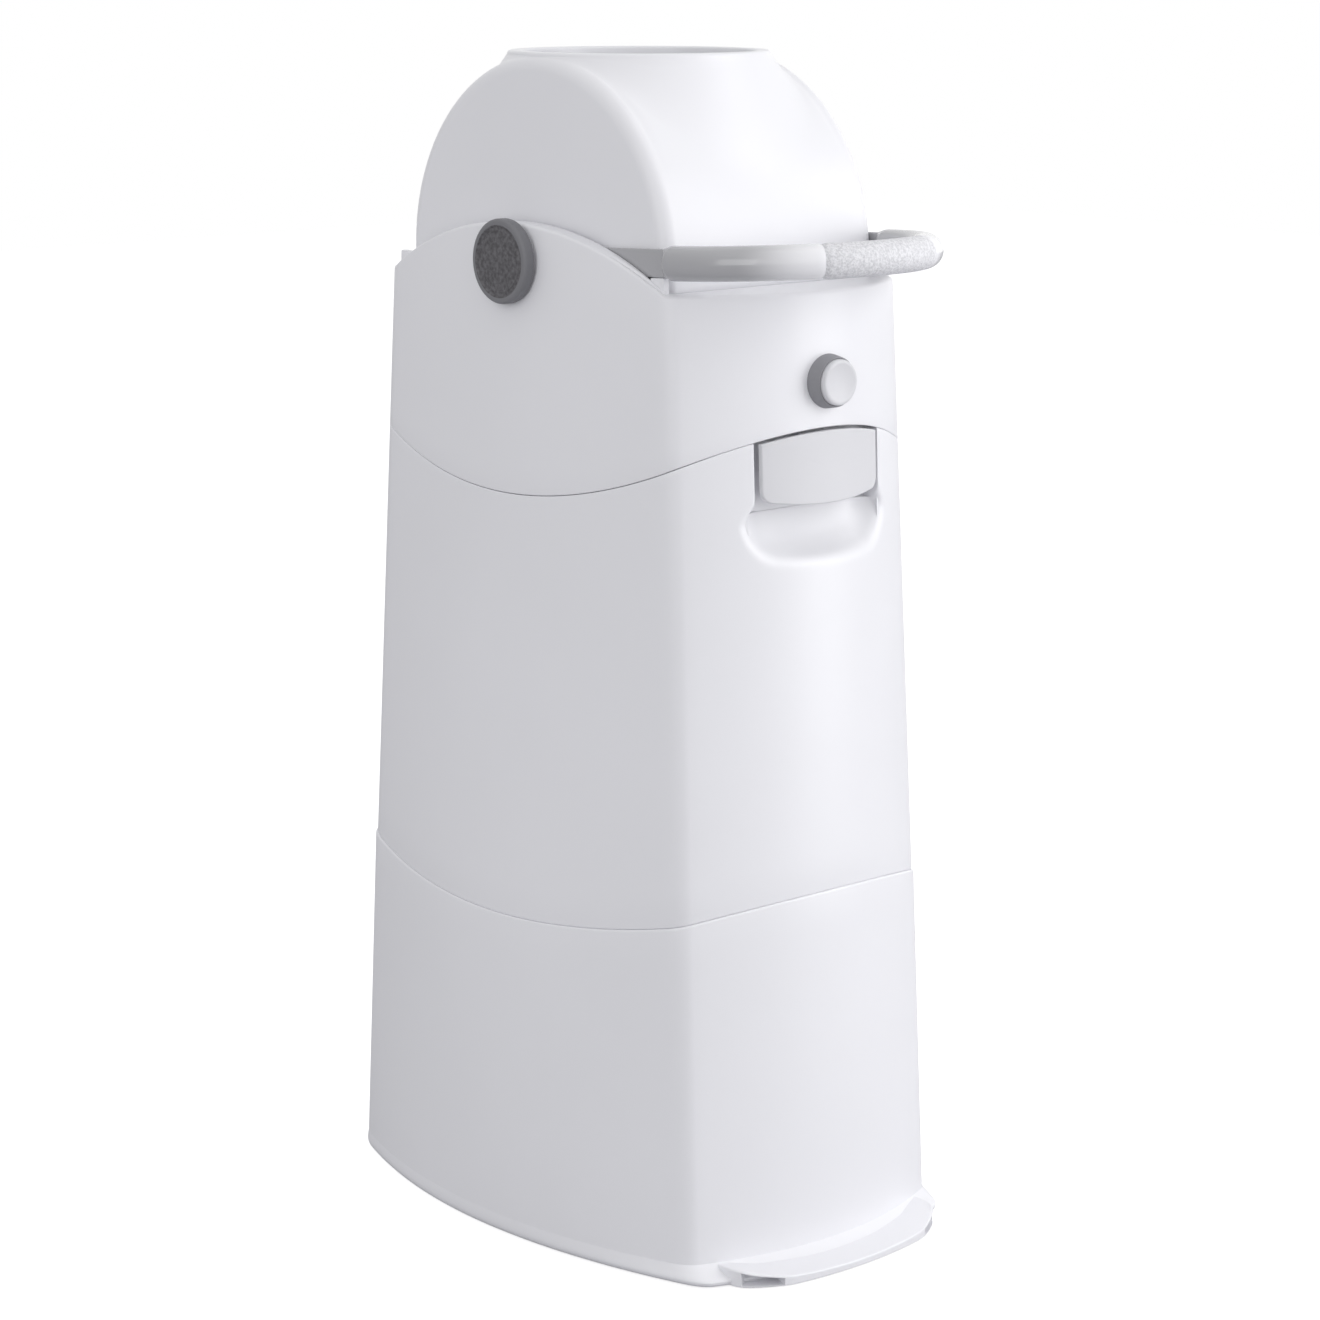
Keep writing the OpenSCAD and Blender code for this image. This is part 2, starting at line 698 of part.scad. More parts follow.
module hood_form(inset, low) {
    intersection() {
        stack([upper_seam(low, inset), ring(shoulder_z, inset), ring(cheek_top + 5, inset)]);
        union() {
            block([-reach, -reach, 0], [reach, reach, shoulder_z - inset]);
            difference() {
                translate([0, 0, arch_z]) rod_x(arch_r - inset, -reach, reach);
                block([-slot_x - inset, -reach, -reach], [slot_x + inset, reach, 2 * reach]);
            }
        }
    }
}

// Block in the slot that the strap comes down on at each end of its travel
stop_w = 10;

module strap_stops() {
    for (sy = [-1, 1]) at_hub() rotate([sy * handle_lift, 0, 0])
        block([dome_half + 0.4, sy > 0 ? well_y - stop_w : -well_y - 1, -strap_h / 2 - 12],
            [slot_x + 0.5, sy > 0 ? well_y + 1 : stop_w - well_y, -strap_h / 2 - rest_gap]);
}

button_r = button_d / 2;
bezel_r = button_r + bezel_w;
housing_r = button_r + 1.6;
button_y = -wall_y(0, button_z) - 1;
button_seat = button_y + 7.6;
plate_y = button_seat + spring_l;
plate_t = 2;

module hood_shell() color(white) {
    difference() {
        union() {
            difference() {
                hood_form(0, 0);
                hood_form(wall, -10);
            }
            intersection() {
                hood_form(0, 0);
                union() {
                    difference() {
                        block([-slot_x - well_t, -well_y - well_t, well_z],
                            [slot_x + well_t, well_y + well_t, reach * 2]);
                        block([-slot_x, -well_y, 0], [slot_x, well_y, reach * 2]);
                    }
                    for (p = posts) translate([p[0], p[1], well_z]) cylinder(r = post_r, h = reach);
                }
            }
            translate([0, 0, button_z]) rod_y(bezel_r, button_y, button_y + 4.5);
            at_hub() both_sides() rod_x(cap_r - 4, wall_x(0, hub_z) - wall, hub_pad_x);
        }
        block([-slot_x, -well_y, well_z - 1], [slot_x, well_y, reach * 2]);
        at_hub() rod_x(cap_stem_r + 0.5, -reach, reach);
        translate([0, 0, button_z]) rod_y(housing_r + tight, -reach, 0);
        for (p = posts) translate([p[0], p[1], well_z - 1]) cylinder(r = screw_r + tight, h = 12);
    }
    both_sides() strap_stops();
}

// Catch behind the hood's front, which the latch's hook swings over
module hood_catch() color(white) intersection() {
    hood_form(wall + tight, 0);
    block([-catch_half, -reach, hook_z - 2 * hook_plate_t + 0.5],
        [catch_half, hook_y - catch_gap, hook_z - hook_t - rest_gap]);
}

// Push button in its housing, with a dished face and a clip behind the plate
module button_housing() color(mid_grey) translate([0, 0, button_z]) difference() {
    union() {
        translate([0, button_y - bezel_t, 0]) rotate([-90, 0, 0])
            cylinder(r1 = button_r + 1.2, r2 = bezel_r, h = bezel_t);
        rod_y(housing_r, button_y - 1, plate_y + plate_t);
    }
    rod_y(button_r + running, -reach, plate_y);
    rod_y(stem_r + running, -reach, 0);
}

stem_r = 4;
clip_t = 1;
face_y = button_y - bezel_t - button_proud;
dish_r = 48;
dish_depth = 1.6;

module push_button() color(pale_grey) translate([0, 0, button_z]) difference() {
    union() {
        rod_y(button_r, face_y + 3, button_seat);
        translate([0, face_y, 0]) rotate([-90, 0, 0]) cylinder(r1 = button_r - 1.2, r2 = button_r, h = 3);
        rod_y(stem_r, button_seat - 1, plate_y + plate_t + clip_t + 3);
    }
    translate([0, face_y - dish_r + dish_depth, 0]) sphere(r = dish_r);
    clip_groove();
}

module clip_groove() {
    y0 = plate_y + plate_t + rest_gap;
    difference() {
        rod_y(stem_r + 2.5, y0, y0 + clip_t);
        rod_y(stem_r - 0.8, y0 - 1, y0 + clip_t + 1);
    }
}

module button_clip() color(steel) translate([0, 0, button_z]) clip_groove();

module button_spring() color(steel) translate([0, 0, button_z]) difference() {
    rod_y(stem_r + 3, button_seat, plate_y);
    rod_y(stem_r + 1, button_seat - 1, plate_y + 1);
}

// Barrel with its bore, closed by two end plates that carry the trunnions
shell_half = barrel_half - wall;
barrel_post_r = barrel_r - 6.5;
barrel_screw_l = 10;
eye_x = dome_half + rest_gap * 2;
hub_pad_x = wall_x(0, hub_z - cap_r) + rest_gap;

module barrel_screw_places(r) {
    for (a = [45:90:315]) rotate([a, 0, 0]) translate([0, r, 0]) children();
}

module barrel() color(inner_white) at_rest() difference() {
    union() {
        difference() {
            rod_x(barrel_r, -shell_half, shell_half);
            rod_x(barrel_r - wall, -reach, reach);
        }
        both_sides() barrel_screw_places(barrel_post_r) rod_x(4.5, shell_half - 12, shell_half);
    }
    cylinder(r = bore_r + wall + tight, h = reach, center = true);
    both_sides() barrel_screw_places(barrel_post_r) rod_x(1.25 + tight, shell_half - 10, shell_half + 1);
}

module barrel_bore() color(inner_white) at_rest() difference() {
    intersection() {
        rod_x(barrel_r, -shell_half, shell_half);
        cylinder(r = bore_r + wall, h = reach, center = true);
    }
    for (s = [-1, 1]) translate([0, 0, s > 0 ? lip_z + lip_t : -reach - lip_z - lip_t])
        cylinder(r = bore_r, h = reach);
    cylinder(r = bore_r, h = 2 * lip_z, center = true);
    cylinder(r = bore_r - lip_w, h = reach, center = true);
}

key_flat = 6.5;

module trunnion_key(fit) {
    intersection() {
        rod_x(cap_stem_r + fit, barrel_half, eye_x + strap_t - 1);
        block([0, -reach, -key_flat - fit], [reach, reach, key_flat + fit]);
    }
}

module barrel_end() color(inner_white) difference() {
    union() {
        rod_x(barrel_r, shell_half, barrel_half);
        rod_x(trunnion_r, barrel_half - 1, eye_x);
        trunnion_key(0);
    }
    rod_x(screw_r + tight, shell_half - 1, reach);
    barrel_screw_places(barrel_post_r) rod_x(1.25 + 0.2, shell_half - 1, reach);
}

module barrel_end_left() at_rest() mirror([1, 0, 0]) barrel_end();
module barrel_end_right() at_rest() barrel_end();

module barrel_screws() color(steel) at_rest() both_sides() barrel_screw_places(barrel_post_r) {
    rod_x(1.25, barrel_half - barrel_screw_l, barrel_half + 0.5);
    rod_x(2.8, barrel_half, barrel_half + 1.6);
}

// Handle: each arm is a flat strap from the hub that runs into a curved tube
tube_r = handle_tube / 2;
core_r = core_d / 2;
core_grow = 12;
cup_r = 5.6;
cup_x = wall_x(0, hub_z) - 4;

module curve(r, from, to) {
    translate([0, -handle_y, 0]) rotate([0, 0, from]) rotate_extrude(angle = to - from)
        translate([handle_r, 0]) circle(r);
}

module handle_arm() color(white) difference() {
    union() {
        translate([eye_x, 0, 0]) rotate([90, 0, 90]) linear_extrude(strap_t) {
            circle(eye_r);
            translate([-handle_y - tube_r, -strap_h / 2]) square([handle_y + tube_r, strap_h]);
        }
        rod_x(cup_r, eye_x + strap_t - 0.5, cup_x);
        curve(tube_r, -90 + grip_half, 0);
    }
    trunnion_key(tight);
    rod_x(screw_r + tight, 0, reach);
    rod_x(3.4 + tight, cup_x - 5, reach);
    curve(core_r + tight, -91 + grip_half, -90 + grip_half + core_grow);
}

module handle_arm_left() at_rest() mirror([1, 0, 0]) handle_arm();
module handle_arm_right() at_rest() handle_arm();

core_half = grip_half + core_grow - 0.2;
module handle_core() color(mid_grey) at_rest() curve(core_r, -90 - core_half, -90 + core_half);

module handle_grip() color(pale_grey) at_rest() difference() {
    curve(tube_r, -90 - grip_half, -90 + grip_half);
    curve(core_r + tight, -91 - grip_half, -89 + grip_half);
}

cap_x = hub_pad_x + rest_gap;

module hub_cap() color(dark_grey) difference() {
    union() {
        rotate([0, 90, 0]) rotate_extrude() {
            translate([0, cap_x]) square([cap_r, cap_t - 1.5]);
            translate([0, cap_x]) square([cap_r - 1.5, cap_t]);
            translate([cap_r - 1.5, cap_x + cap_t - 1.5]) circle(1.5);
        }
        rod_x(cap_stem_r, eye_x + strap_t + 1, cap_x + 1);
    }
    rod_x(cup_r + tight, 0, cup_x + 0.5);
    rod_x(cap_r - 5, cap_x + cap_t - 0.8, reach);
}

module hub_cap_left() at_rest() mirror([1, 0, 0]) hub_cap();
module hub_cap_right() at_rest() hub_cap();

module hub_screws() color(steel) at_rest() both_sides() {
    rod_x(screw_r, shell_half, cup_x - 4.9);
    rod_x(3.4, cup_x - 5, cup_x - 2.5);
}

// Piston, at rest on the lip at the lower mouth of the bore
piston_z = -lip_z + rest_gap;
body_h = piston_h - piston_plate;
groove_r = piston_r - 2.5;
wiper_r = bore_r - rest_gap;
post_places = [for (sx = [-1, 1], sy = [-1, 1]) [sx * 36, sy * 36]];

module in_bore() {
    at_rest() translate([0, 0, piston_z]) children();
}

module piston_grooves(r) {
    for (z = [5, body_h - 5 - wiper_h]) translate([0, 0, z]) difference() {
        cylinder(r = r, h = wiper_h);
        translate([0, 0, -1]) cylinder(r = groove_r, h = wiper_h + 2);
    }
}

module piston_body() color(inner_white) in_bore() difference() {
    union() {
        difference() {
            cylinder(r = piston_r, h = body_h);
            translate([0, 0, piston_plate]) cylinder(r = groove_r - 2.5, h = body_h);
        }
        for (p = post_places) translate(p) cylinder(r = 4, h = body_h);
    }
    piston_grooves(piston_r + 1);
    for (p = post_places) translate([p[0], p[1], body_h - 10]) cylinder(r = 1.25 + tight, h = 11);
}

module piston_weight() color(steel) in_bore() translate([0, 0, piston_plate])
    cylinder(r = weight_r, h = weight_h);

module piston_cover() color(pale_grey) in_bore() translate([0, 0, body_h]) difference() {
    cylinder(r = piston_r, h = piston_plate);
    for (p = post_places) translate(p) {
        translate([0, 0, -1]) cylinder(r = 1.45, h = piston_plate + 2);
        translate([0, 0, piston_plate - 2]) cylinder(r = 3, h = 3);
    }
}

module piston_seals() color(dark_grey) in_bore() piston_grooves(wiper_r);

module piston_screws() color(steel) in_bore() for (p = post_places) translate([p[0], p[1], body_h]) {
    translate([0, 0, piston_plate - 2]) cylinder(r = 2.8, h = 1.8);
    translate([0, 0, -2 * piston_plate]) cylinder(r = 1.25, h = 3 * piston_plate - 1.9);
}

base_plinth();
plinth_screws();
rubber_feet();
lower_tub();
upper_sleeve();
bag_ring();
hinge_lower();
hinge_upper();
latch_pin();
latch_spring();
hinge_pin();
latch_flap();
hood_shell();
hood_catch();
dome_shell();
mouth_seal();
lower_housing();
outlet_seal();
hood_screws();
hub_bush_left();
hub_bush_right();
button_housing();
button_spring();
barrel();
barrel_bore();
barrel_end_left();
barrel_end_right();
barrel_screws();
handle_arm_left();
handle_arm_right();
handle_core();
handle_grip();
hub_cap_left();
hub_cap_right();
hub_screws();
piston_body();
piston_weight();
piston_cover();
piston_seals();
piston_screws();
push_button();
button_clip();
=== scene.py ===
import json
import math

import bmesh
import bpy
import numpy as np
from mathutils import Matrix, Vector

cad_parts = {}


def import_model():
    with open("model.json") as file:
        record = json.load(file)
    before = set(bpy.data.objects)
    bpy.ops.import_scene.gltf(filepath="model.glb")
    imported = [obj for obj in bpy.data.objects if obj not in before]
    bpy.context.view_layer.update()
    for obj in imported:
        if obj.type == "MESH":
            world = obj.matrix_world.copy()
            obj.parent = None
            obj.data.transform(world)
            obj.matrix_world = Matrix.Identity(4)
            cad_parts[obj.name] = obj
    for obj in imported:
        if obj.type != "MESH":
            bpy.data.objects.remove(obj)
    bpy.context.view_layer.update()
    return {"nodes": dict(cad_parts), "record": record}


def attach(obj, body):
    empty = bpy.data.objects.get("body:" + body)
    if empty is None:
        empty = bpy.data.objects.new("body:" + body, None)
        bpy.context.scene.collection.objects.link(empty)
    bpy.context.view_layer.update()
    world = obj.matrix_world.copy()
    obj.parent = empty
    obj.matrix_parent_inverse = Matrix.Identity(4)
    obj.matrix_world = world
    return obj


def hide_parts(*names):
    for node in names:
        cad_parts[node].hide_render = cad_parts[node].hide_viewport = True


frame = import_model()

MM = 0.001

# Sizes in millimetres, in the CAD model's frame. Heights are z from the floor, and those of the
# dome's rim and collar are measured from the hub axis.

# Body: the outline's corners at floor and shoulder, its bows, and the share of a side kept straight
BASE_W, TOP_W, BASE_D, TOP_D = 201.0, 182.0, 316.0, 254.0
SIDE_BOW_LOW, SIDE_BOW_TOP, FRONT_BOW_LOW, FRONT_BOW_TOP = 32.0, 10.0, 22.0, 36.0
CORNER = 0.93
WALL = 2.5
SHOULDER = 580.0

# Seams: height at the corners, rise to the front and dip to the sides
LOW_SEAM, LOW_RISE, LOW_DIP = 216.0, 11.0, 16.0
UP_SEAM, UP_RISE, UP_DIP = 481.0, 20.5, 26.0
SEAM_GAP = 0.3
TUB_STEP = 0.8
LAP = 12.0

# Plinth: top and underside, front flare, side lip and tuck; toe plate with oblique ends, its
# sloping top, and the hollow in each end
PLINTH_TOP, FOOT_DROP = 12.0, 1.0
FLARE, LIP, TUCK = 12.0, 1.0, 4.5
TOE_HALF, TOE_REACH, TOE_BOW, TOE_ROOT = 58.0, 205.0, 6.0, 150.0
WING_X, WING_Y = 83.0, 184.0
TOE_TIP, TOE_SLOPE, TOE_RUN, TOE_EDGE = 5.5, 0.27, 22.0, 1.2
HOLLOW, HOLLOW_IN, HOLLOW_OUT = 14.0, 60.5, 82.0

# Sleeve: latch pocket, finger scoop, ledge of the bag ring, lugs of the latch pin
POCKET_HALF, POCKET_Z, POCKET_BACK = 49.5, 454.0, 144.9
SCOOP_R, SCOOP_Y, SCOOP_HALF = 28.0, 172.9, 33.5
SCOOP_TOP, SCOOP_SLOPE = 3.0, 1.2
LEDGE_Z, LEDGE = 404.5, 6.0
LATCH_Y, LATCH_Z = -156.9, 491.0
LUG_IN, LUG_OUT, LUG_R = 25.3, 29.3, 2.8

# Sleeve's mesh: height at which the front's columns are set out, heights between which its rows
# stay level, the foot's gap to the tub, and the search for the hollowed front along y
SET_OUT_Z, LEVEL_LOW, LEVEL_TOP = 480.0, 405.0, 455.0
FOOT_GAP = 0.03
SEARCH_LOW, SEARCH_HIGH, SEARCH_STEPS = -180.0, -130.0, 36

# Hood: arch of the cheeks, well around the dome, hub axis, the handle's lift at rest, and the
# pads behind the hub caps
ARCH_R, ARCH_Z = 247.0, 367.0
SLOT_X, WELL_Y, WELL_Z, WELL_WALL = 88.0, 120.0, 559.0, 1.8
HUB = 591.6
LIFT = math.radians(2.8)
PAD_X, PAD_R, PAD_SINK = 102.03, 21.0, 2.0

# Dome: drum, shallow groove beside its rounded edge, rim and mouth, flange
DOME_R, DOME_HALF, DOME_EDGE = 118.5, 83.5, 9.0
GROOVE = 0.6
RIM_R, MOUTH_R, RIM_TOP = 79.0, 70.0, 119.9
FLANGE_X, FLANGE_Y, FLANGE_T = 89.8, 121.8, 3.0

# Handle: tube and its curve, straps (half thickness and half height), end of the swell between
# them, and half the grip's angle; hub caps and their stems
TUBE_R, HANDLE_R, HANDLE_Y = 10.0, 85.0, 123.0
STRAP_X, STRAP_T, STRAP_H, STRAP_END = 85.6, 1.5, 8.0, -120.0
SWELL_END = -129.0
GRIP_HALF = math.radians(27.5)
CAP_X, CAP_R, CAP_T = 102.33, 25.0, 7.5
STEM_X, STEM_R = 88.1, 8.0

# Latch flap with its lugs and hook, and button with its ring
FLAP_HALF, FLAP_LOW, FLAP_BOW, FLAP_CORNER = 46.0, 457.5, 4.0, 6.0
FLAP_T, FLAP_PROUD, FLAP_GAP, FLAP_EDGE = 3.0, 1.0, 1.8, 0.8
FLAP_MIDDLE = 478.0
FLAP_LUG_IN, FLAP_LUG_OUT, FLAP_LUG_R = 20.0, 25.0, 3.5
HOOK_HALF, HOOK_FRONT, HOOK_BACK, HOOK_LOW, HOOK_TOP = 9.0, -164.9, -149.9, 485.0, 507.5
BUTTON_Z, BUTTON_Y, BUTTON_R = 528.0, -165.52, 13.3
BUTTON_OUT, RING_OUT = 10.0, 7.0


def mix(a, b, t):
    return a + (b - a) * t


def smooth(a, b, v):
    """Soft step from 0 at a to 1 at b."""
    t = np.clip((v - a) / (b - a), 0, 1)
    return t * t * (3 - 2 * t)


def half_w(z):
    return mix(BASE_W, TOP_W, z / SHOULDER) / 2


def half_d(z):
    return mix(BASE_D, TOP_D, z / SHOULDER) / 2


def side_bow(z):
    return mix(SIDE_BOW_LOW, SIDE_BOW_TOP, z / SHOULDER)


def front_bow(z):
    return mix(FRONT_BOW_LOW, FRONT_BOW_TOP, z / SHOULDER)


def wall_x(y, z):
    """Outer face of a side at depth y and height z."""
    return half_w(z) + side_bow(z) * (1 - (y / half_d(z)) ** 2)


def wall_y(x, z):
    """Outer face of front or back at width x and height z."""
    return half_d(z) + front_bow(z) * (1 - (x / half_w(z)) ** 2)


def side_share(k, t):
    """Place t from -1 to 1 on side k: shares of half width, half depth, side bow, front bow."""
    t = float(t)
    return np.array([[t, -1, 0, t * t - 1], [1, t, 1 - t * t, 0],
                     [-t, 1, 0, 1 - t * t], [-1, -t, t * t - 1, 0]][k])


def shares(front, sides=36, corner=8):
    """Shares all the way round, with the given places along the front and rounded corners."""
    tips = [np.array(v, float)
            for v in ([1, -1, 0, 0], [1, 1, 0, 0], [-1, 1, 0, 0], [-1, -1, 0, 0])]
    even = [CORNER * (2 * i / sides - 1) for i in range(sides + 1)]
    out = []
    for k in range(4):
        places = front if k == 0 else even
        out += [side_share(k, t) for t in places]
        for i in range(1, corner):
            u = i / corner
            out.append((1 - u) ** 2 * side_share(k, CORNER) + 2 * u * (1 - u) * tips[k]
                       + u * u * side_share((k + 1) % 4, -CORNER))
    return np.array(out)


PLAIN = shares([CORNER * (2 * i / 32 - 1) for i in range(33)])


def ring(s, z, inset=0.0):
    """The body's outline at height z, one point for each row of shares, moved in by inset."""
    z = np.broadcast_to(np.asarray(z, float), (len(s),))
    return np.stack([s[:, 0] * (half_w(z) - inset) + s[:, 2] * side_bow(z),
                     s[:, 1] * (half_d(z) - inset) + s[:, 3] * front_bow(z), z], axis=1)


def low_seam(s):
    """Height of the lower seam at each row of shares."""
    return LOW_SEAM + LOW_RISE * abs(s[:, 3]) - LOW_DIP * abs(s[:, 2])


def up_seam(s):
    """Height of the upper seam at each row of shares."""
    return UP_SEAM + UP_RISE * abs(s[:, 3]) - UP_DIP * abs(s[:, 2])


def arc(r, n=4):
    """Quarter circle as (in, up) steps from the side face to the top face."""
    angles = [math.pi / 2 * i / n for i in range(n + 1)]
    return [(r * (1 - math.cos(a)), r * math.sin(a)) for a in angles]


def outward(border):
    """Unit normals of a closed plane border of (n, 2) points."""
    tangent = np.roll(border, -1, axis=0) - np.roll(border, 1, axis=0)
    normal = np.stack([tangent[:, 1], -tangent[:, 0]], axis=1)
    return normal / np.linalg.norm(normal, axis=1, keepdims=True)


class Solid:
    """Vertices in millimetres and faces, gathered from several closed forms."""

    def __init__(self):
        self.verts, self.faces = [], []

    def add(self, verts, faces):
        base = len(self.verts)
        self.verts += [tuple(float(c) for c in v) for v in verts]
        self.faces += [tuple(base + i for i in f) for f in faces]

    def rings(self, rows, loop=False, low=False, high=False):
        """Skin over closed rings of equal length, with flat ends where asked."""
        n, m = len(rows[0]), len(rows)
        faces = []
        for k in range(m if loop else m - 1):
            a, b = k * n, ((k + 1) % m) * n
            faces += [(a + i, a + (i + 1) % n, b + (i + 1) % n, b + i) for i in range(n)]
        if low:
            faces.append(tuple(reversed(range(n))))
        if high:
            faces.append(tuple(range((m - 1) * n, m * n)))
        self.add(np.concatenate([np.asarray(r, float) for r in rows]), faces)

    def lathe(self, profile, place, n=96):
        """Profile of (radius, height) turned about the local z of place."""
        angles = [2 * math.pi * i / n for i in range(n)]
        rows = []
        for r, h in profile:
            rows.append([place @ Vector((r * math.cos(a), r * math.sin(a), h)) for a in angles])
        closed = profile[0] == profile[-1]
        if closed:
            rows = rows[:-1]
        self.rings(rows, loop=closed, low=not closed, high=not closed)

    def block(self, low, high, edge=0.5, place=None):
        """Box with rounded edges."""
        low, high = Vector(low), Vector(high)
        bm = bmesh.new()
        bmesh.ops.create_cube(bm, size=1.0)
        bmesh.ops.scale(bm, vec=high - low, verts=bm.verts)
        bmesh.ops.translate(bm, vec=(high + low) / 2, verts=bm.verts)
        bmesh.ops.bevel(bm, geom=bm.edges[:], offset=edge, segments=3, profile=0.5, affect="EDGES")
        if place is not None:
            bmesh.ops.transform(bm, matrix=place, verts=bm.verts)
        bm.verts.index_update()
        self.add([v.co for v in bm.verts], [[v.index for v in f.verts] for f in bm.faces])
        bm.free()

    def build(self, name, body, slot, replaces=(), sharp=32):
        """Piece in metres that rides on body; edges sharper than sharp degrees stay hard."""
        mesh = bpy.data.meshes.new(name)
        mesh.from_pydata([(x * MM, y * MM, z * MM) for x, y, z in self.verts], [], self.faces)
        bm = bmesh.new()
        bm.from_mesh(mesh)
        bmesh.ops.remove_doubles(bm, verts=bm.verts, dist=1e-7)
        bmesh.ops.recalc_face_normals(bm, faces=bm.faces)
        bm.to_mesh(mesh)
        bm.free()
        mesh.shade_smooth()
        mesh.set_sharp_from_angle(angle=math.radians(sharp))
        obj = bpy.data.objects.new(name, mesh)
        bpy.context.scene.collection.objects.link(obj)
        mesh.materials.append(MATERIAL[slot])
        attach(obj, body)
        if replaces:
            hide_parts(*replaces)
        return obj


# Materials. The numbers are a Mix node's sockets when it mixes colours.
COLOR_A, COLOR_B, COLOR_OUT = 6, 7, 2


def node_material(name):
    """New material, its nodes and links, and its shader."""
    mat = bpy.data.materials.new(name)
    mat.use_nodes = True
    nodes = mat.node_tree.nodes
    return mat, nodes, mat.node_tree.links, nodes["Principled BSDF"]


def noise(nodes, links, coord, scale, detail=3.0, rough=0.5, stretch=None):
    """Noise value over the given coordinates, drawn out where stretch is given."""
    tex = nodes.new("ShaderNodeTexNoise")
    tex.inputs["Scale"].default_value = scale
    tex.inputs["Detail"].default_value = detail
    tex.inputs["Roughness"].default_value = rough
    if stretch:
        mapping = nodes.new("ShaderNodeMapping")
        mapping.inputs["Scale"].default_value = stretch
        links.new(coord, mapping.inputs["Vector"])
        coord = mapping.outputs["Vector"]
    links.new(coord, tex.inputs["Vector"])
    return tex.outputs["Fac"]


def span(nodes, links, value, low, high, start=0.3, stop=0.7):
    """Maps a value from the range start to stop to the range low to high."""
    m = nodes.new("ShaderNodeMapRange")
    m.inputs["From Min"].default_value = start
    m.inputs["From Max"].default_value = stop
    m.inputs["To Min"].default_value = low
    m.inputs["To Max"].default_value = high
    links.new(value, m.inputs["Value"])
    return m.outputs["Result"]


def color_mix(nodes, links, low, high, share):
    """Mixes two colours, each a triple or a socket: low where share is 0, high where it is 1."""
    both = nodes.new("ShaderNodeMix")
    both.data_type = "RGBA"
    for index, color in ((COLOR_A, low), (COLOR_B, high)):
        if isinstance(color, bpy.types.NodeSocket):
            links.new(color, both.inputs[index])
        else:
            both.inputs[index].default_value = (*color, 1)
    links.new(share, both.inputs["Factor"])
    return both.outputs[COLOR_OUT]


def within(nodes, links, coord, outside, color, radius):
    """Colour that changes to another, mottled one within a radius of the hub axis."""
    flat = nodes.new("ShaderNodeVectorMath")
    flat.operation = "MULTIPLY_ADD"
    flat.inputs[1].default_value = (0, 1, 1)
    flat.inputs[2].default_value = (0, 0, -HUB * MM)
    links.new(coord, flat.inputs[0])
    away = nodes.new("ShaderNodeVectorMath")
    away.operation = "LENGTH"
    links.new(flat.outputs["Vector"], away.inputs[0])
    mottle = span(nodes, links, noise(nodes, links, coord, 420.0, 3.0), 0, 1, 0.35, 0.65)
    spots = color_mix(nodes, links, [c * 0.7 for c in color], [c * 1.35 for c in color], mottle)
    border = span(nodes, links, away.outputs["Value"], 0, 1, radius, radius + 0.0003)
    return color_mix(nodes, links, spots, outside, border)


def painted_shade_along_y(nodes, links, coord, full, color, start, stop):
    """Painted shade along the y axis: a darker colour at start that runs to the surface's own at
    stop.
    """
    split = nodes.new("ShaderNodeSeparateXYZ")
    links.new(coord, split.inputs["Vector"])
    share = nodes.new("ShaderNodeMapRange")
    share.interpolation_type = "SMOOTHSTEP"
    share.inputs["From Min"].default_value = start
    share.inputs["From Max"].default_value = stop
    links.new(split.outputs["Y"], share.inputs["Value"])
    return color_mix(nodes, links, color, full, share.outputs["Result"])


def dented(nodes, links, shader, height, strength, distance):
    """Bump on a shader from a height value."""
    dent = nodes.new("ShaderNodeBump")
    dent.inputs["Strength"].default_value = strength
    dent.inputs["Distance"].default_value = distance
    links.new(height, dent.inputs["Height"])
    links.new(dent.outputs["Normal"], shader.inputs["Normal"])


def moulded(name, color, rough, vary=0.02, grain=900.0, bump=0.02, specular=0.5, coat=0.0,
            metal=0.0, streak=None, disc=None, painted_shade=None):
    """Plastic, rubber or steel: faint clouds in colour and gloss and a fine grain in the surface.

    With disc, a colour and a radius in metres, the part within that radius of the hub axis has
    that colour, mottled. The painted shade argument, a darker colour and two places on the y axis
    in metres, paints shade that runs from that colour at the first to the surface's own at the
    second."""
    mat, nodes, links, shader = node_material(name)
    coord = nodes.new("ShaderNodeTexCoord").outputs["Object"]
    clouds = noise(nodes, links, coord, 6.0, 2.0)
    tint = color_mix(nodes, links, [c * (1 - vary) for c in color],
                     [min(1.0, c * (1 + vary)) for c in color], span(nodes, links, clouds, 0, 1))
    if disc:
        tint = within(nodes, links, coord, tint, *disc)
    # Painted shade: a darker colour that fades into the surface's own along the y axis
    if painted_shade:
        tint = painted_shade_along_y(nodes, links, coord, tint, *painted_shade)
    links.new(tint, shader.inputs["Base Color"])
    gloss = noise(nodes, links, coord, 35.0, 3.0, stretch=streak)
    links.new(span(nodes, links, gloss, rough * 0.9, rough * 1.12), shader.inputs["Roughness"])
    dented(nodes, links, shader, noise(nodes, links, coord, grain, 2.0), bump, 0.0004)
    shader.inputs["Specular IOR Level"].default_value = specular
    shader.inputs["Coat Weight"].default_value = coat
    shader.inputs["Coat Roughness"].default_value = 0.08
    shader.inputs["Metallic"].default_value = metal
    return mat


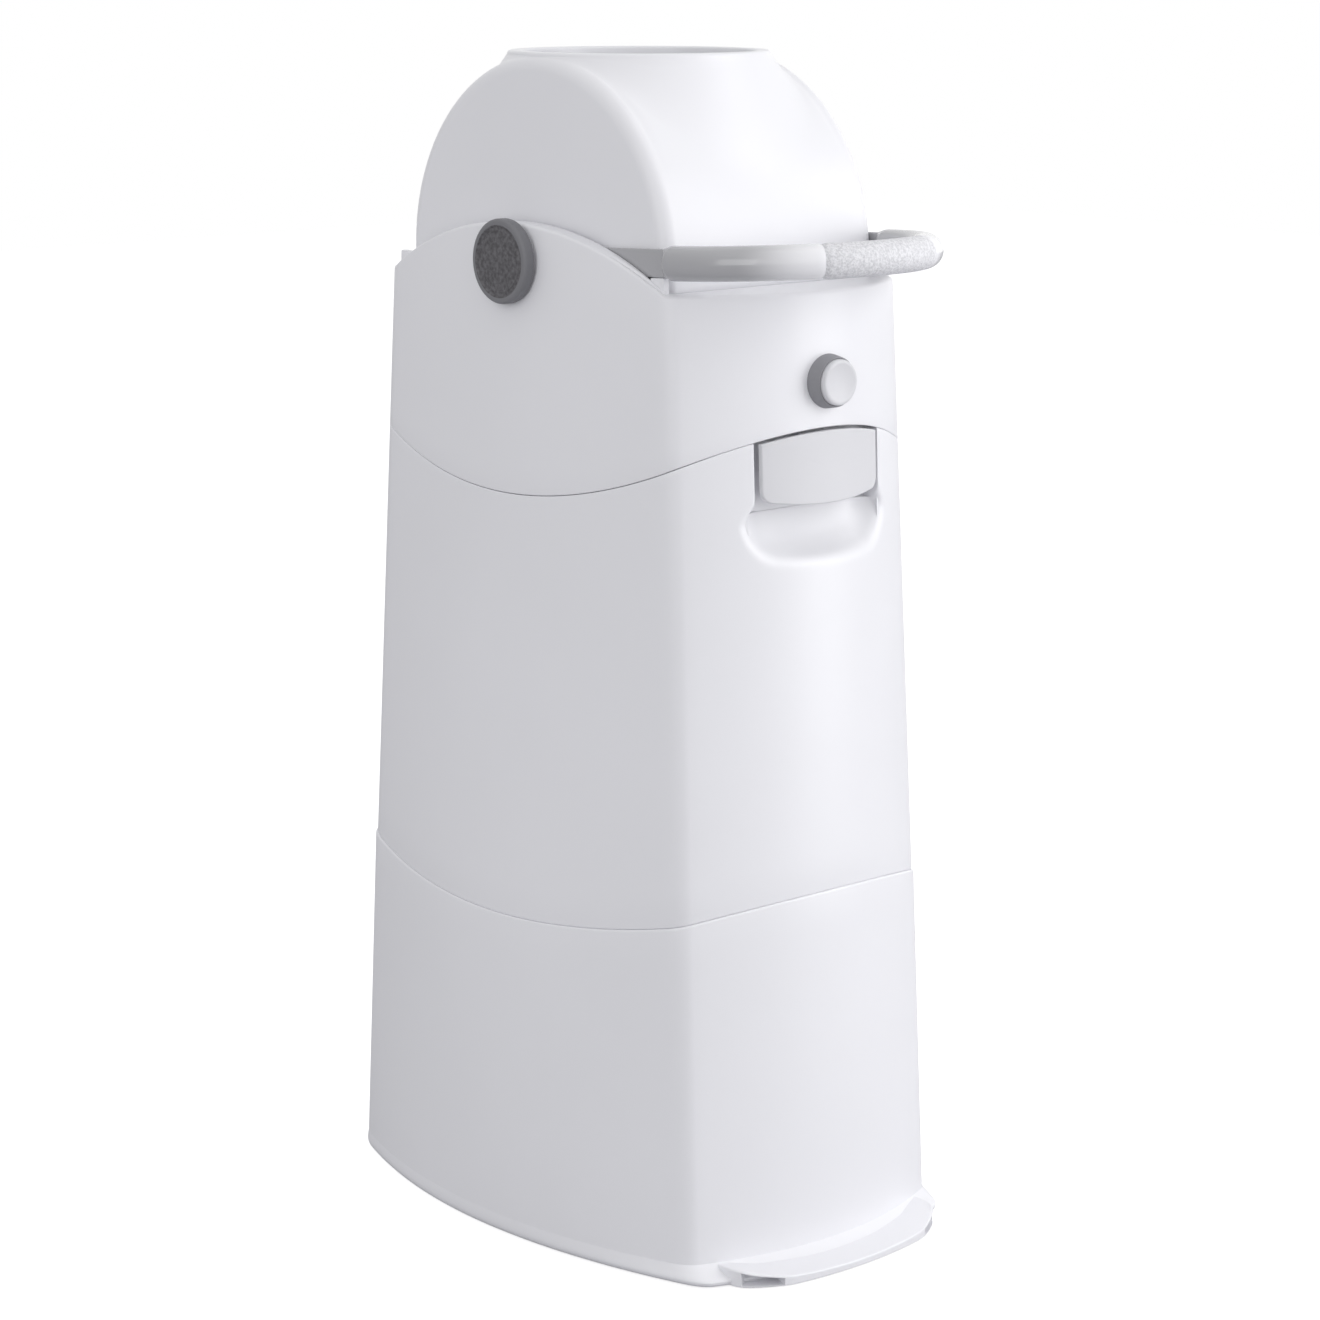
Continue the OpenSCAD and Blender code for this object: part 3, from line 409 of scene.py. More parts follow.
def speckled(name, light, dark, rough):
    """Soft sleeve with coarse speckles and a dimpled surface."""
    mat, nodes, links, shader = node_material(name)
    coord = nodes.new("ShaderNodeTexCoord").outputs["Object"]
    grains = nodes.new("ShaderNodeTexVoronoi")
    grains.inputs["Scale"].default_value = 900.0
    links.new(coord, grains.inputs["Vector"])
    patch = noise(nodes, links, coord, 700.0, 3.0, 0.6)
    tint = color_mix(nodes, links, dark, light, span(nodes, links, patch, 0, 1, 0.36, 0.62))
    links.new(tint, shader.inputs["Base Color"])
    links.new(span(nodes, links, patch, rough * 0.85, rough * 1.1), shader.inputs["Roughness"])
    dented(nodes, links, shader, grains.outputs["Distance"], 0.35, 0.0005)
    shader.inputs["Specular IOR Level"].default_value = 0.3
    return mat


MATERIAL = {
    "white": moulded("white", (0.83, 0.83, 0.865), 0.34, vary=0.012, bump=0.03, specular=0.45),
    "inner_white": moulded("inner_white", (0.78, 0.78, 0.81), 0.40, vary=0.015, bump=0.03),
    # The handle's arms get painted shade and painted dark reflection: darker near the hood, fading
    # to white towards the grip
    "gloss_white": moulded("gloss_white", (0.86, 0.86, 0.89), 0.14, vary=0.01, grain=500.0,
                           bump=0.01, coat=0.35, painted_shade=((0.43, 0.43, 0.45), -0.171, -0.205)),
    "pale_grey": moulded("pale_grey", (0.665, 0.665, 0.695), 0.48, vary=0.02, grain=1500.0,
                         bump=0.10, specular=0.4),
    "mid_grey": moulded("mid_grey", (0.27, 0.27, 0.29), 0.55, vary=0.04, grain=1800.0,
                        bump=0.22, specular=0.35),
    "dark_grey": moulded("dark_grey", (0.20, 0.20, 0.215), 0.5, vary=0.06, grain=1600.0,
                         bump=0.2, specular=0.45, disc=((0.112, 0.109, 0.117), 0.0212)),
    "soft_grip": speckled("soft_grip", (0.82, 0.82, 0.85), (0.60, 0.60, 0.63), 0.6),
    "rubber": moulded("rubber", (0.05, 0.05, 0.053), 0.75, vary=0.08, grain=1200.0,
                      bump=0.3, specular=0.3),
    "steel": moulded("steel", (0.62, 0.63, 0.65), 0.3, vary=0.03, grain=2000.0,
                     bump=0.05, metal=1.0, streak=(1.0, 1.0, 14.0)),
}


def along(axis, origin, sign=1):
    """Matrix that turns local z to an axis of the frame and moves it to origin."""
    turn = {"x": Matrix.Rotation(math.pi / 2 * sign, 4, "Y"),
            "y": Matrix.Rotation(-math.pi / 2 * sign, 4, "X"),
            "z": Matrix.Identity(4)}[axis]
    return Matrix.Translation(Vector(origin)) @ turn


# Frame on the hub axis whose -y runs along the handle at rest
AT_REST = Matrix.Translation((0, 0, HUB)) @ Matrix.Rotation(-LIFT, 4, "X")


def toe_plate(solid):
    """Plate in front of the plinth: its top rises to the back, and each oblique end is hollowed."""
    edge = [(-WING_X - 2, -TOE_ROOT), (-WING_X, -WING_Y)]
    steps = 40
    for i in range(-steps, steps + 1):
        edge.append((TOE_HALF * i / steps, -TOE_REACH + TOE_BOW * (i / steps) ** 2))
    edge += [(WING_X, -WING_Y), (WING_X + 2, -TOE_ROOT)]
    edge = np.array(edge)
    border = []
    for a, b in zip(edge, np.roll(edge, -1, axis=0)):
        n = max(1, int(np.hypot(*(b - a)) / 3))
        border += [a + (b - a) * i / n for i in range(n)]
    border = np.array(border)
    for _ in range(10):
        border = (np.roll(border, 1, axis=0) + 2 * border + np.roll(border, -1, axis=0)) / 4
    normal = outward(border)
    x, y = np.abs(border[:, 0]), border[:, 1]
    hollow = HOLLOW * ((x > HOLLOW_IN) & (x < HOLLOW_OUT) & (y < -WING_Y + 1))[:, None]
    top = TOE_TIP + TOE_SLOPE * np.clip(y + TOE_REACH, 0, TOE_RUN)
    low = FOOT_DROP
    rows = []
    for inset, z in [(1.2, low), (0.4, low + 0.2), (0.0, low + 0.7), (hollow, low + 0.75),
                     (hollow, top - TOE_EDGE - 0.15), (0.0, top - TOE_EDGE - 0.1)]:
        rows.append(np.column_stack([border - normal * inset, np.broadcast_to(z, (len(border),))]))
    for inset, up in arc(TOE_EDGE, 5):
        rows.append(np.column_stack([border - normal * inset, top - TOE_EDGE + up]))
    solid.rings(rows, low=True, high=True)


def plinth():
    """Plinth that flares softly in front and is tucked in below at the sides and the back."""
    solid = Solid()
    profile = [(0.0, 0.80), (0.03, 0.90), (0.08, 0.96), (0.15, 0.99), (0.22, 1.0), (0.30, 0.995),
               (0.36, 0.95), (0.42, 0.87), (0.48, 0.77), (0.54, 0.66), (0.60, 0.55), (0.66, 0.45),
               (0.72, 0.36), (0.78, 0.28), (0.84, 0.20), (0.90, 0.13), (0.95, 0.07), (1.0, 0.02)]
    tuck_top = 0.85
    rows = []
    for h, f in profile:
        side = LIP * f - TUCK * (1 - math.sqrt(1 - max(0.0, 1 - h / tuck_top) ** 2))
        row = ring(PLAIN, mix(FOOT_DROP, PLINTH_TOP, h))
        row[:, 0] += side * PLAIN[:, 0]
        row[:, 1] += np.where(PLAIN[:, 1] < 0, f * FLARE, side) * PLAIN[:, 1]
        rows.append(row)
    solid.rings(rows, low=True, high=True)
    toe_plate(solid)
    return solid.build("plinth", "bin", "white", ["base_plinth"])


def tub():
    """Tub, proud of the body's line towards the seam, with the lap and the screw posts."""
    solid = Solid()
    s = PLAIN
    seam = low_seam(s)
    edge, lip, floor_z = 1.3, WALL + 0.1, PLINTH_TOP + 6.5
    rows = []
    for f in (0.0, 0.15, 0.3, 0.5, 0.7, 0.9):
        rows.append(ring(s, mix(PLINTH_TOP, seam, f), -TUB_STEP * f))
    rows += [ring(s, seam - edge + up, inset - TUB_STEP) for inset, up in arc(edge, 6)]
    rows += [ring(s, seam, lip), ring(s, seam + LAP - 0.6, lip), ring(s, seam + LAP, lip + 0.5),
             ring(s, seam + LAP, 2 * WALL - 0.4), ring(s, seam + LAP - 0.4, 2 * WALL),
             ring(s, seam - LAP, 2 * WALL), ring(s, seam - LAP - WALL, WALL)]
    rows += [ring(s, mix(seam - LAP - WALL, floor_z, f), WALL) for f in (0.3, 0.6, 0.9, 1.0)]
    rows += [ring(s, floor_z - up, WALL + inset) for inset, up in arc(4.0, 5)[1:]]
    solid.rings(rows, low=True, high=True)
    post = [(5.6, 0), (5.2, 0.6), (5.0, 2), (5.0, 10.9), (4.7, 11.3), (4.2, 11.5)]
    for sx in (-1, 1):
        for sy in (-1, 1):
            solid.lathe(post, along("z", (60 * sx, 100 * sy, 14.0)), 32)
    return solid.build("tub", "bin", "white", ["lower_tub"])


def sleeve_front():
    """Places of the front's columns, closest together at the sides of the latch pocket."""
    right = [*range(0, 34, 2), *range(34, 49), 48.5, 49.1, 49.35, 49.47, 49.53, 49.65, 49.9, 50.3,
             50.8, 51.4, 51.95, 52.05, *range(53, 62), 62.5, 64.5, 67, 70, 73, 77, 81]
    places = [x / half_w(SET_OUT_Z) for x in right] + [CORNER]
    return [-t for t in reversed(places[1:])] + places


def soft_max(a, b, k):
    """Larger of two values, blended where they differ by less than k."""
    h = np.clip(k - np.abs(a - b), 0, None) / k
    return np.maximum(a, b) + h * h * k / 4


def hollow_front(x, z):
    """Front of the sleeve with scoop and pocket, found by halving along y."""
    skin = -wall_y(x, z)
    low, high = np.full(x.shape, SEARCH_LOW), np.full(x.shape, SEARCH_HIGH)
    for _ in range(SEARCH_STEPS):
        y = (low + high) / 2
        scoop = SCOOP_R - np.sqrt((y + SCOOP_Y) ** 2 + (z - POCKET_Z) ** 2
                                  + np.clip(np.abs(x) - SCOOP_HALF, 0, None) ** 2)
        beside = np.clip(np.abs(x) - POCKET_HALF, 0, None)
        scoop = -soft_max(-scoop, z - POCKET_Z - SCOOP_TOP + SCOOP_SLOPE * beside, 6.0)
        pocket = np.minimum(POCKET_HALF - np.abs(x), np.minimum(z - POCKET_Z, -POCKET_BACK - y))
        out = soft_max(soft_max(skin - y, scoop, 6.5), pocket, 1.0)
        low, high = np.where(out > 0, y, low), np.where(out > 0, high, y)
    return (low + high) / 2


def sleeve():
    """Sleeve; in front its columns and rows follow the latch pocket and the finger scoop."""
    solid = Solid()
    front = sleeve_front()
    s = shares(front)
    count = len(front)
    t = np.array(front)
    # Share by which a place of the front keeps upright columns and level rows
    hold = 1 - smooth(0.72, 0.86, np.abs(t))
    rows_hold = 1 - smooth(0.70, 0.92, np.abs(t))
    top_c, low_c = UP_SEAM + UP_RISE - SEAM_GAP, LOW_SEAM + LOW_RISE

    def front_x(z):
        """Widths of the front's columns at heights z: upright in the middle, tapered beyond."""
        return t * mix(half_w(z), half_w(SET_OUT_Z), hold)

    def seam_front(base, rise, gap):
        """Seam's height at the front's columns, whose widths hang on it in turn."""
        z = np.full(count, base + rise)
        for _ in range(4):
            z = base + rise * (1 - (front_x(z) / half_w(z)) ** 2) + gap
        return z

    up = up_seam(s) - SEAM_GAP
    low = low_seam(s) + FOOT_GAP
    up[:count] = seam_front(UP_SEAM, UP_RISE, -SEAM_GAP)
    low[:count] = seam_front(LOW_SEAM, LOW_RISE, FOOT_GAP)

    def heights(zt, level_low=LEVEL_LOW):
        """Row at height zt in the middle: level there, and along the seams above and below."""
        z = low + (zt - low_c) / (top_c - low_c) * (up - low)
        f = slice(0, count)
        if zt < level_low:
            own = mix(low[f], level_low, (zt - low_c) / (level_low - low_c))
        elif zt < LEVEL_TOP:
            own = np.full(count, float(zt))
        else:
            own = mix(LEVEL_TOP, up[f], (zt - LEVEL_TOP) / (top_c - LEVEL_TOP))
        z[f] = mix(z[f], own, rows_hold)
        return z

    def row(z, inset, inside=False):
        """Outline at heights z with pocket and scoop, or the inner wall that passes behind them."""
        p = ring(s, z, inset)
        zf = z[:count]
        x = front_x(zf)
        base = hollow_front(x, zf) + inset
        if inside:
            base = -wall_y(x, zf) + inset
            block = (np.abs(x) < POCKET_HALF + WALL) & (zf > POCKET_Z - SCOOP_R - WALL)
            base = np.where(block, np.maximum(base, WALL - POCKET_BACK), base)
        share_x = x / half_w(zf)
        p[:count, 0] = x - share_x * inset * (1 - hold)
        p[:count, 1] = base
        return p

    table = [mix(low_c, LEVEL_LOW, f) for f in (0.12, 0.3, 0.5, 0.7, 0.85, 1.0)]
    table += [409, 413, 416, 418.5, 420.5, 422]
    table += list(np.arange(422.5, 453.6, 0.5)) + [453.85, 453.97, 454.03, 454.15, 454.4, 454.8]
    table += [455.4, 456.5, 458.5, 461, 464, 468, 473, 478, 483, 488, 492, 496, 498.5]
    rows = [row(low + 0.9 - up_, in_) for in_, up_ in reversed(arc(0.9))]
    rows += [row(heights(zt), 0.0) for zt in table]
    rows += [row(up - 0.7 + up_, in_) for in_, up_ in arc(0.7)]
    rows += [row(up - 0.7 + up_, WALL - in_, True) for in_, up_ in reversed(arc(0.7))]
    for zt in (498, 490, 480, 470, 460, 450, 440, 432, 426, 423.6, 423.4, 420, 412):
        rows.append(row(heights(zt, LEDGE_Z), WALL, True))
    ledge = np.full(len(s), LEDGE_Z)
    ledge_foot = ledge - 2.5 - LEDGE
    rows += [row(ledge, WALL, True), row(ledge, WALL + LEDGE - 0.4, True),
             row(ledge - 0.4, WALL + LEDGE, True), row(ledge - 2.5, WALL + LEDGE, True),
             row(ledge_foot, WALL, True)]
    rows += [row(mix(ledge_foot, low + LAP, f), WALL, True) for f in (0.33, 0.66, 1.0)]
    rows += [row(low + 0.4, WALL, True)]
    solid.rings(rows, loop=True)
    lug = [(2.0, 0), (2.5, 0.1), (LUG_R, 0.4), (LUG_R, 3.6), (2.5, 3.9), (2.0, 4.0)]
    for sx in (-1, 1):
        x0, x1 = sorted((sx * LUG_IN, sx * LUG_OUT))
        solid.block((x0, LATCH_Y, LATCH_Z - LUG_R), (x1, 0.6 - POCKET_BACK, LATCH_Z + LUG_R), 0.3)
        solid.lathe(lug, along("x", (x0, LATCH_Y, LATCH_Z)), 40)
    return solid.build("sleeve", "bin", "white", ["upper_sleeve"], sharp=38)


def top_height(x, y):
    """Top of the hood: flat shoulder, and the arch of the cheeks beside the well."""
    rise = np.clip(ARCH_Z + np.sqrt(np.clip(ARCH_R ** 2 - y ** 2, 1, None)) - SHOULDER, 0, None)
    return SHOULDER + rise * smooth(SLOT_X - 3.0, SLOT_X - 0.4, np.abs(x))


def well_ring(grow, corner=2.0):
    """Rounded rectangle of the well, one point for each column of PLAIN."""
    hx, hy, r = SLOT_X + grow, WELL_Y + grow, corner + grow
    out = []
    for a in PLAIN:
        u, v = a[0], a[1]
        if abs(a[3]) > 1e-9 and abs(v) > 0.999:
            out.append((u / CORNER * (hx - r), math.copysign(hy, v)))
        elif abs(a[2]) > 1e-9 and abs(u) > 0.999:
            out.append((math.copysign(hx, u), v / CORNER * (hy - r)))
        else:
            ang = math.atan2(max(0.0, abs(v) - CORNER), max(0.0, abs(u) - CORNER))
            out.append((math.copysign(hx - r + r * math.cos(ang), u),
                        math.copysign(hy - r + r * math.sin(ang), v)))
    return np.array(out)


def hood():
    """Skin, soft top edge, shoulder and cheeks, well around the dome, and the inside."""
    solid = Solid()
    s = PLAIN
    seam = up_seam(s)
    outer = ring(s, SHOULDER)
    is_front = np.abs(s[:, 1]) > 0.9999
    arch = ARCH_Z + np.sqrt(ARCH_R ** 2 - np.clip(np.abs(outer[:, 1]), 0, 200) ** 2)
    top = np.where(is_front & (np.abs(s[:, 2]) < 1e-9), SHOULDER, np.maximum(SHOULDER, arch))
    edge = 2.4
    rows = [ring(s, seam + 0.8 - up_, in_) for in_, up_ in reversed(arc(0.8))]
    rows += [ring(s, mix(seam, top - edge, f)) for f in (0.1, 0.25, 0.5, 0.75, 1.0)]
    rows += [ring(s, top - edge + up_, in_) for in_, up_ in arc(edge, 6)[1:]]
    inner = ring(s, top, edge)
    for f in (0.08, 0.2, 0.4, 0.6, 0.8, 0.92):
        xy = mix(inner[:, :2], well_ring(1.0), f)
        z = top_height(xy[:, 0], xy[:, 1])
        rows.append(np.column_stack([xy, mix(top, z, smooth(0, 0.4, np.full(len(s), f)))]))
    for in_, up_ in reversed(arc(1.0)):
        xy = well_ring(in_)
        rows.append(np.column_stack([xy, top_height(xy[:, 0], xy[:, 1]) - 1.0 + up_]))
    xy = well_ring(0.0)
    rim = top_height(xy[:, 0], xy[:, 1]) - 1.0
    rows += [np.column_stack([xy, mix(rim, WELL_Z, f)]) for f in (0.5, 1.0)]
    xy = well_ring(WELL_WALL)
    rows.append(np.column_stack([xy, np.full(len(s), WELL_Z)]))
    rows.append(np.column_stack([xy, top_height(xy[:, 0], xy[:, 1]) - WALL]))
    under = ring(s, top - WALL, WALL + 0.2)
    for f in (0.3, 0.7):
        p = mix(xy, under[:, :2], f)
        rows.append(np.column_stack([p, mix(top_height(xy[:, 0], xy[:, 1]), top, f) - WALL]))
    rows += [under, ring(s, mix(top, seam, 0.1), WALL), ring(s, mix(top, seam, 0.6), WALL),
             ring(s, seam + 1.4, WALL), ring(s, seam + 0.9, WALL - 0.4)]
    solid.rings(rows, loop=True)
    pad_foot = wall_x(0, HUB) - PAD_SINK
    pad_h = PAD_X - wall_x(0, HUB) + PAD_SINK
    pad = [(PAD_R - 2, 0), (PAD_R, 0), (PAD_R, pad_h - 0.5), (PAD_R - 0.2, pad_h - 0.15),
           (PAD_R - 0.7, pad_h)]
    post = [(2.6, 0), (3.2, 0.6), (3.2, 19), (4.4, 20.2)]
    for sx in (-1, 1):
        solid.lathe(pad, along("x", (sx * pad_foot, 0, HUB), sx), 72)
        for sy in (-1, 1):
            at = Matrix.Translation((0, 0, HUB)) @ Matrix.Rotation(sy * LIFT, 4, "X")
            y0, y1 = sorted((sy * (WELL_Y + 1), sy * (WELL_Y - 10)))
            x0, x1 = sorted((sx * (DOME_HALF + 0.4), sx * (SLOT_X + 0.5)))
            solid.block((x0, y0, -20), (x1, y1, -8.3), 0.6, at)
            for px, py in ((52, WELL_Y + 10.5), (SLOT_X + 5.3, 50)):
                solid.lathe(post, along("z", (sx * px, sy * py, WELL_Z)), 24)
    return solid.build("hood", "hood", "white", ["hood_shell"], sharp=38)


def dome():
    """Drum with round side edges that runs into a round collar, and the flange below."""
    solid = Solid()
    r, half, edge = DOME_R, DOME_HALF, DOME_EDGE

    def plan(h, d, e):
        """Rectangle of half sizes h and d with corners of radius e."""
        pts = []
        for i in range(48):
            pts.append((h, mix(-(d - e), d - e, i / 48)))
        for i in range(12):
            a = math.pi / 2 * i / 12
            pts.append((h - e + e * math.cos(a), d - e + e * math.sin(a)))
        for i in range(40):
            pts.append((mix(h - e, e - h, i / 40), d))
        for i in range(12):
            a = math.pi / 2 * (1 + i / 12)
            pts.append((e - h + e * math.cos(a), d - e + e * math.sin(a)))
        half_way = np.array(pts)
        return np.concatenate([half_way, -half_way])

    def drum(x, y, rr, h, e):
        """Height of a drum of radius rr and half length h with edges of radius e."""
        u = np.clip((np.abs(x) - (h - e)) / e, 0, 1)
        rad = rr - e + e * np.sqrt(1 - u * u)
        return np.sqrt(np.clip(rad ** 2 - y ** 2, 0, None))

    border = plan(half, r, edge)
    angle = np.arctan2(border[:, 1], border[:, 0])
    unit = np.stack([np.cos(angle), np.sin(angle)], axis=1)
    far = np.hypot(border[:, 0], border[:, 1])
    rise = RIM_TOP - 2.0

    def skin(xy):
        """Drum, with lines from the rim that touch it in each plane across the hub axis."""
        x, y = np.abs(xy[:, 0]), np.abs(xy[:, 1])
        u = np.clip((x - (half - edge)) / edge, 0, 1)
        rad = r - edge + edge * np.sqrt(1 - u * u)
        rad = rad - GROOVE * np.exp(-((x - half + edge + 1.5) / 2.6) ** 2) * smooth(2, 40, r - y)
        rim_y = np.sqrt(np.clip(RIM_R ** 2 - x ** 2, 0, None))
        reach = np.hypot(rim_y, rise)
        foot = np.arctan2(rise, rim_y) - np.arccos(np.clip(rad / reach, -1, 1))
        foot_y, foot_z = rad * np.cos(foot), rad * np.sin(foot)
        line = mix(rise, foot_z, (y - rim_y) / np.maximum(foot_y - rim_y, 1e-6))
        body = np.sqrt(np.clip(rad ** 2 - y ** 2, 0, None))
        return np.where((x < RIM_R) & (y < foot_y) & (rad < reach), np.maximum(line, body), body)

    def at(xy, z):
        return np.column_stack([xy, np.broadcast_to(z, (len(xy),)) + HUB])

    inner = (r - WALL, half - WALL, edge - WALL)
    mouth = unit * MOUTH_R
    mouth_foot = drum(mouth[:, 0], mouth[:, 1], *inner)
    round_in, round_out = 1.6, 2.2
    rows = [at(mouth, mouth_foot), at(mouth, mix(mouth_foot, RIM_TOP - round_in, 0.5))]
    rows += [at(unit * (MOUTH_R + in_), RIM_TOP - round_in + up_) for in_, up_ in arc(round_in, 5)]
    for a in np.linspace(0, math.pi / 2, 7):
        rows.append(at(unit * (RIM_R - round_out + round_out * math.sin(a)),
                       RIM_TOP - round_out + round_out * math.cos(a)))
    steps = 30
    for i in range(1, steps + 1):
        f = math.sin(math.pi / 2 * i / steps)
        rad = mix(RIM_R, far, f)
        xy = unit * rad[:, None]
        rows.append(at(xy, np.minimum(skin(xy), rise)))
    brim = rows[-1][:, 2] - HUB
    z0, z1 = WELL_Z - FLANGE_T, WELL_Z
    rows += [at(border, mix(brim, z0 - HUB, f)) for f in (0.15, 0.35, 0.6, 0.8, 1.0)]
    inside = plan(half - WALL, r - WALL, edge - WALL)
    inner_angle = np.arctan2(inside[:, 1], inside[:, 0])
    inner_unit = np.stack([np.cos(inner_angle), np.sin(inner_angle)], axis=1)
    inner_far = np.hypot(inside[:, 0], inside[:, 1])
    rows += [at(inside, z0 - HUB), at(inside, drum(inside[:, 0], inside[:, 1], *inner))]
    for f in (0.97, 0.9, 0.75, 0.55, 0.3, 0.12):
        xy = inner_unit * mix(MOUTH_R, inner_far, f)[:, None]
        rows.append(at(xy, drum(xy[:, 0], xy[:, 1], *inner)))
    solid.rings(rows, loop=True)
    # Flange around the opening, with tabs for the screws
    for k in (-1, 1):
        for across, near, far_y in ((FLANGE_X, 112.5, FLANGE_Y), (66, 121, 137)):
            y0, y1 = sorted((k * near, k * far_y))
            solid.block((-across, y0, z0), (across, y1, z1), 0.5)
        for near, far_x, along_y in ((81.4, FLANGE_X, 121.5), (89, 96.5, 62)):
            x0, x1 = sorted((k * near, k * far_x))
            solid.block((x0, -along_y, z0), (x1, along_y, z1), 0.5)
    return solid.build("dome", "hood", "white", ["dome_shell"], sharp=40)


def sweep(solid, centres, tangents, sections):
    """Tube along a path in the frame of the handle at rest.

    A section has half width, half height and a power: 1 is an ellipse, less is more square."""
    rows = []
    for c, d, (hx, hz, power) in zip(centres, tangents, sections):
        side = np.array([d[1], -d[0], 0.0])
        pts = []
        for i in range(48):
            a = 2 * math.pi * i / 48
            ca, sa = math.cos(a), math.sin(a)
            px = math.copysign(abs(ca) ** power, ca) * hx
            pz = math.copysign(abs(sa) ** power, sa) * hz
            pts.append(AT_REST @ Vector(np.array(c) + side * px + np.array([0, 0, pz])))
        rows.append(pts)
    solid.rings(rows, low=True, high=True)


def handle_arm(sx, name, node):
    """Flat strap in the slot that swells into the round tube, with its eye on the hub."""
    solid = Solid()
    centres, tangents, sections = [], [], []
    flat = 0.22
    for y in (0.0, -30.0, -60.0, -90.0, -105.0, -114.0, STRAP_END):
        centres.append((sx * STRAP_X, y, 0.0))
        tangents.append((0, -1, 0))
        sections.append((STRAP_T, STRAP_H, flat))
    for i in range(1, 13):
        f = i / 12
        g = math.sin(math.pi / 2 * f)
        y = mix(STRAP_END, SWELL_END, f)
        turn = max(0.0, (-HANDLE_Y - y) / HANDLE_R)
        cx = mix(STRAP_X, HANDLE_R * math.cos(turn), g)
        centres.append((sx * cx, -HANDLE_Y - HANDLE_R * math.sin(turn) if turn > 0 else y, 0.0))
        tangents.append((-sx * math.sin(turn), -math.cos(turn), 0))
        sections.append((mix(STRAP_T, TUBE_R, g), mix(STRAP_H, TUBE_R, g),
                         mix(flat, 1.0, min(1.0, g * 1.6))))
    first = (-HANDLE_Y - SWELL_END) / HANDLE_R
    last = math.pi / 2 - GRIP_HALF
    for i in range(1, 41):
        a = mix(first, last, i / 40)
        shrink = 0.0 if i < 39 else (0.12 if i == 39 else 0.7)
        centres.append((sx * HANDLE_R * math.cos(a), -HANDLE_Y - HANDLE_R * math.sin(a), 0.0))
        tangents.append((-sx * math.sin(a), -math.cos(a), 0))
        sections.append((TUBE_R - shrink, TUBE_R - shrink, 1.0))
    sweep(solid, centres, tangents, sections)
    eye = AT_REST @ along("x", (sx * (STRAP_X - STRAP_T), 0, 0), sx)
    solid.lathe([(19.4, 0), (20, 0.5), (20, 2.5), (19.4, 3.0)], eye, 72)
    return solid.build(name, "turning_barrel", "gloss_white", [node])


def grip():
    """Soft sleeve around the front of the handle."""
    solid = Solid()
    centres, tangents, sections = [], [], []
    steps = 60
    for i in range(steps + 1):
        a = mix(math.pi / 2 - GRIP_HALF, math.pi / 2 + GRIP_HALF, i / steps)
        ends = min(i, steps - i)
        shrink = (0.9, 0.25, 0.05)[ends] if ends < 3 else 0.0
        centres.append((HANDLE_R * math.cos(a), -HANDLE_Y - HANDLE_R * math.sin(a), 0.0))
        tangents.append((-math.sin(a), -math.cos(a), 0))
        sections.append((TUBE_R - shrink, TUBE_R - shrink, 1.0))
    sweep(solid, centres, tangents, sections)
    return solid.build("grip", "turning_barrel", "soft_grip", ["handle_grip"])


def hub_cap(sx, name, node):
    """Round cap with a recessed face, and its stem."""
    solid = Solid()
    place = AT_REST @ along("x", (sx * CAP_X, 0, 0), sx)
    t = CAP_T
    profile = [(CAP_R - 0.8, 0), (CAP_R - 0.2, 0.3), (CAP_R, 1.0), (CAP_R, t - 2.6)]
    profile += [(CAP_R - in_, t - 2.2 + up_) for in_, up_ in arc(2.2, 6)]
    profile += [(21.4, t), (20.9, t - 0.12), (20.6, t - 0.5), (20.2, t - 0.78), (19.6, t - 0.8)]
    profile += [(18.4, t - 0.8), (18.1, t - 0.6), (17.6, t - 0.6), (17.3, t - 0.8)]
    profile += [(12.0, t - 0.72), (6.0, t - 0.66), (0.5, t - 0.64)]
    solid.lathe(profile, place, 120)
    stem = AT_REST @ along("x", (sx * STEM_X, 0, 0), sx)
    solid.lathe([(STEM_R - 0.8, 0), (STEM_R, 0.8), (STEM_R, 15.0)], stem, 48)
    return solid.build(name, "turning_barrel", "dark_grey", [node])


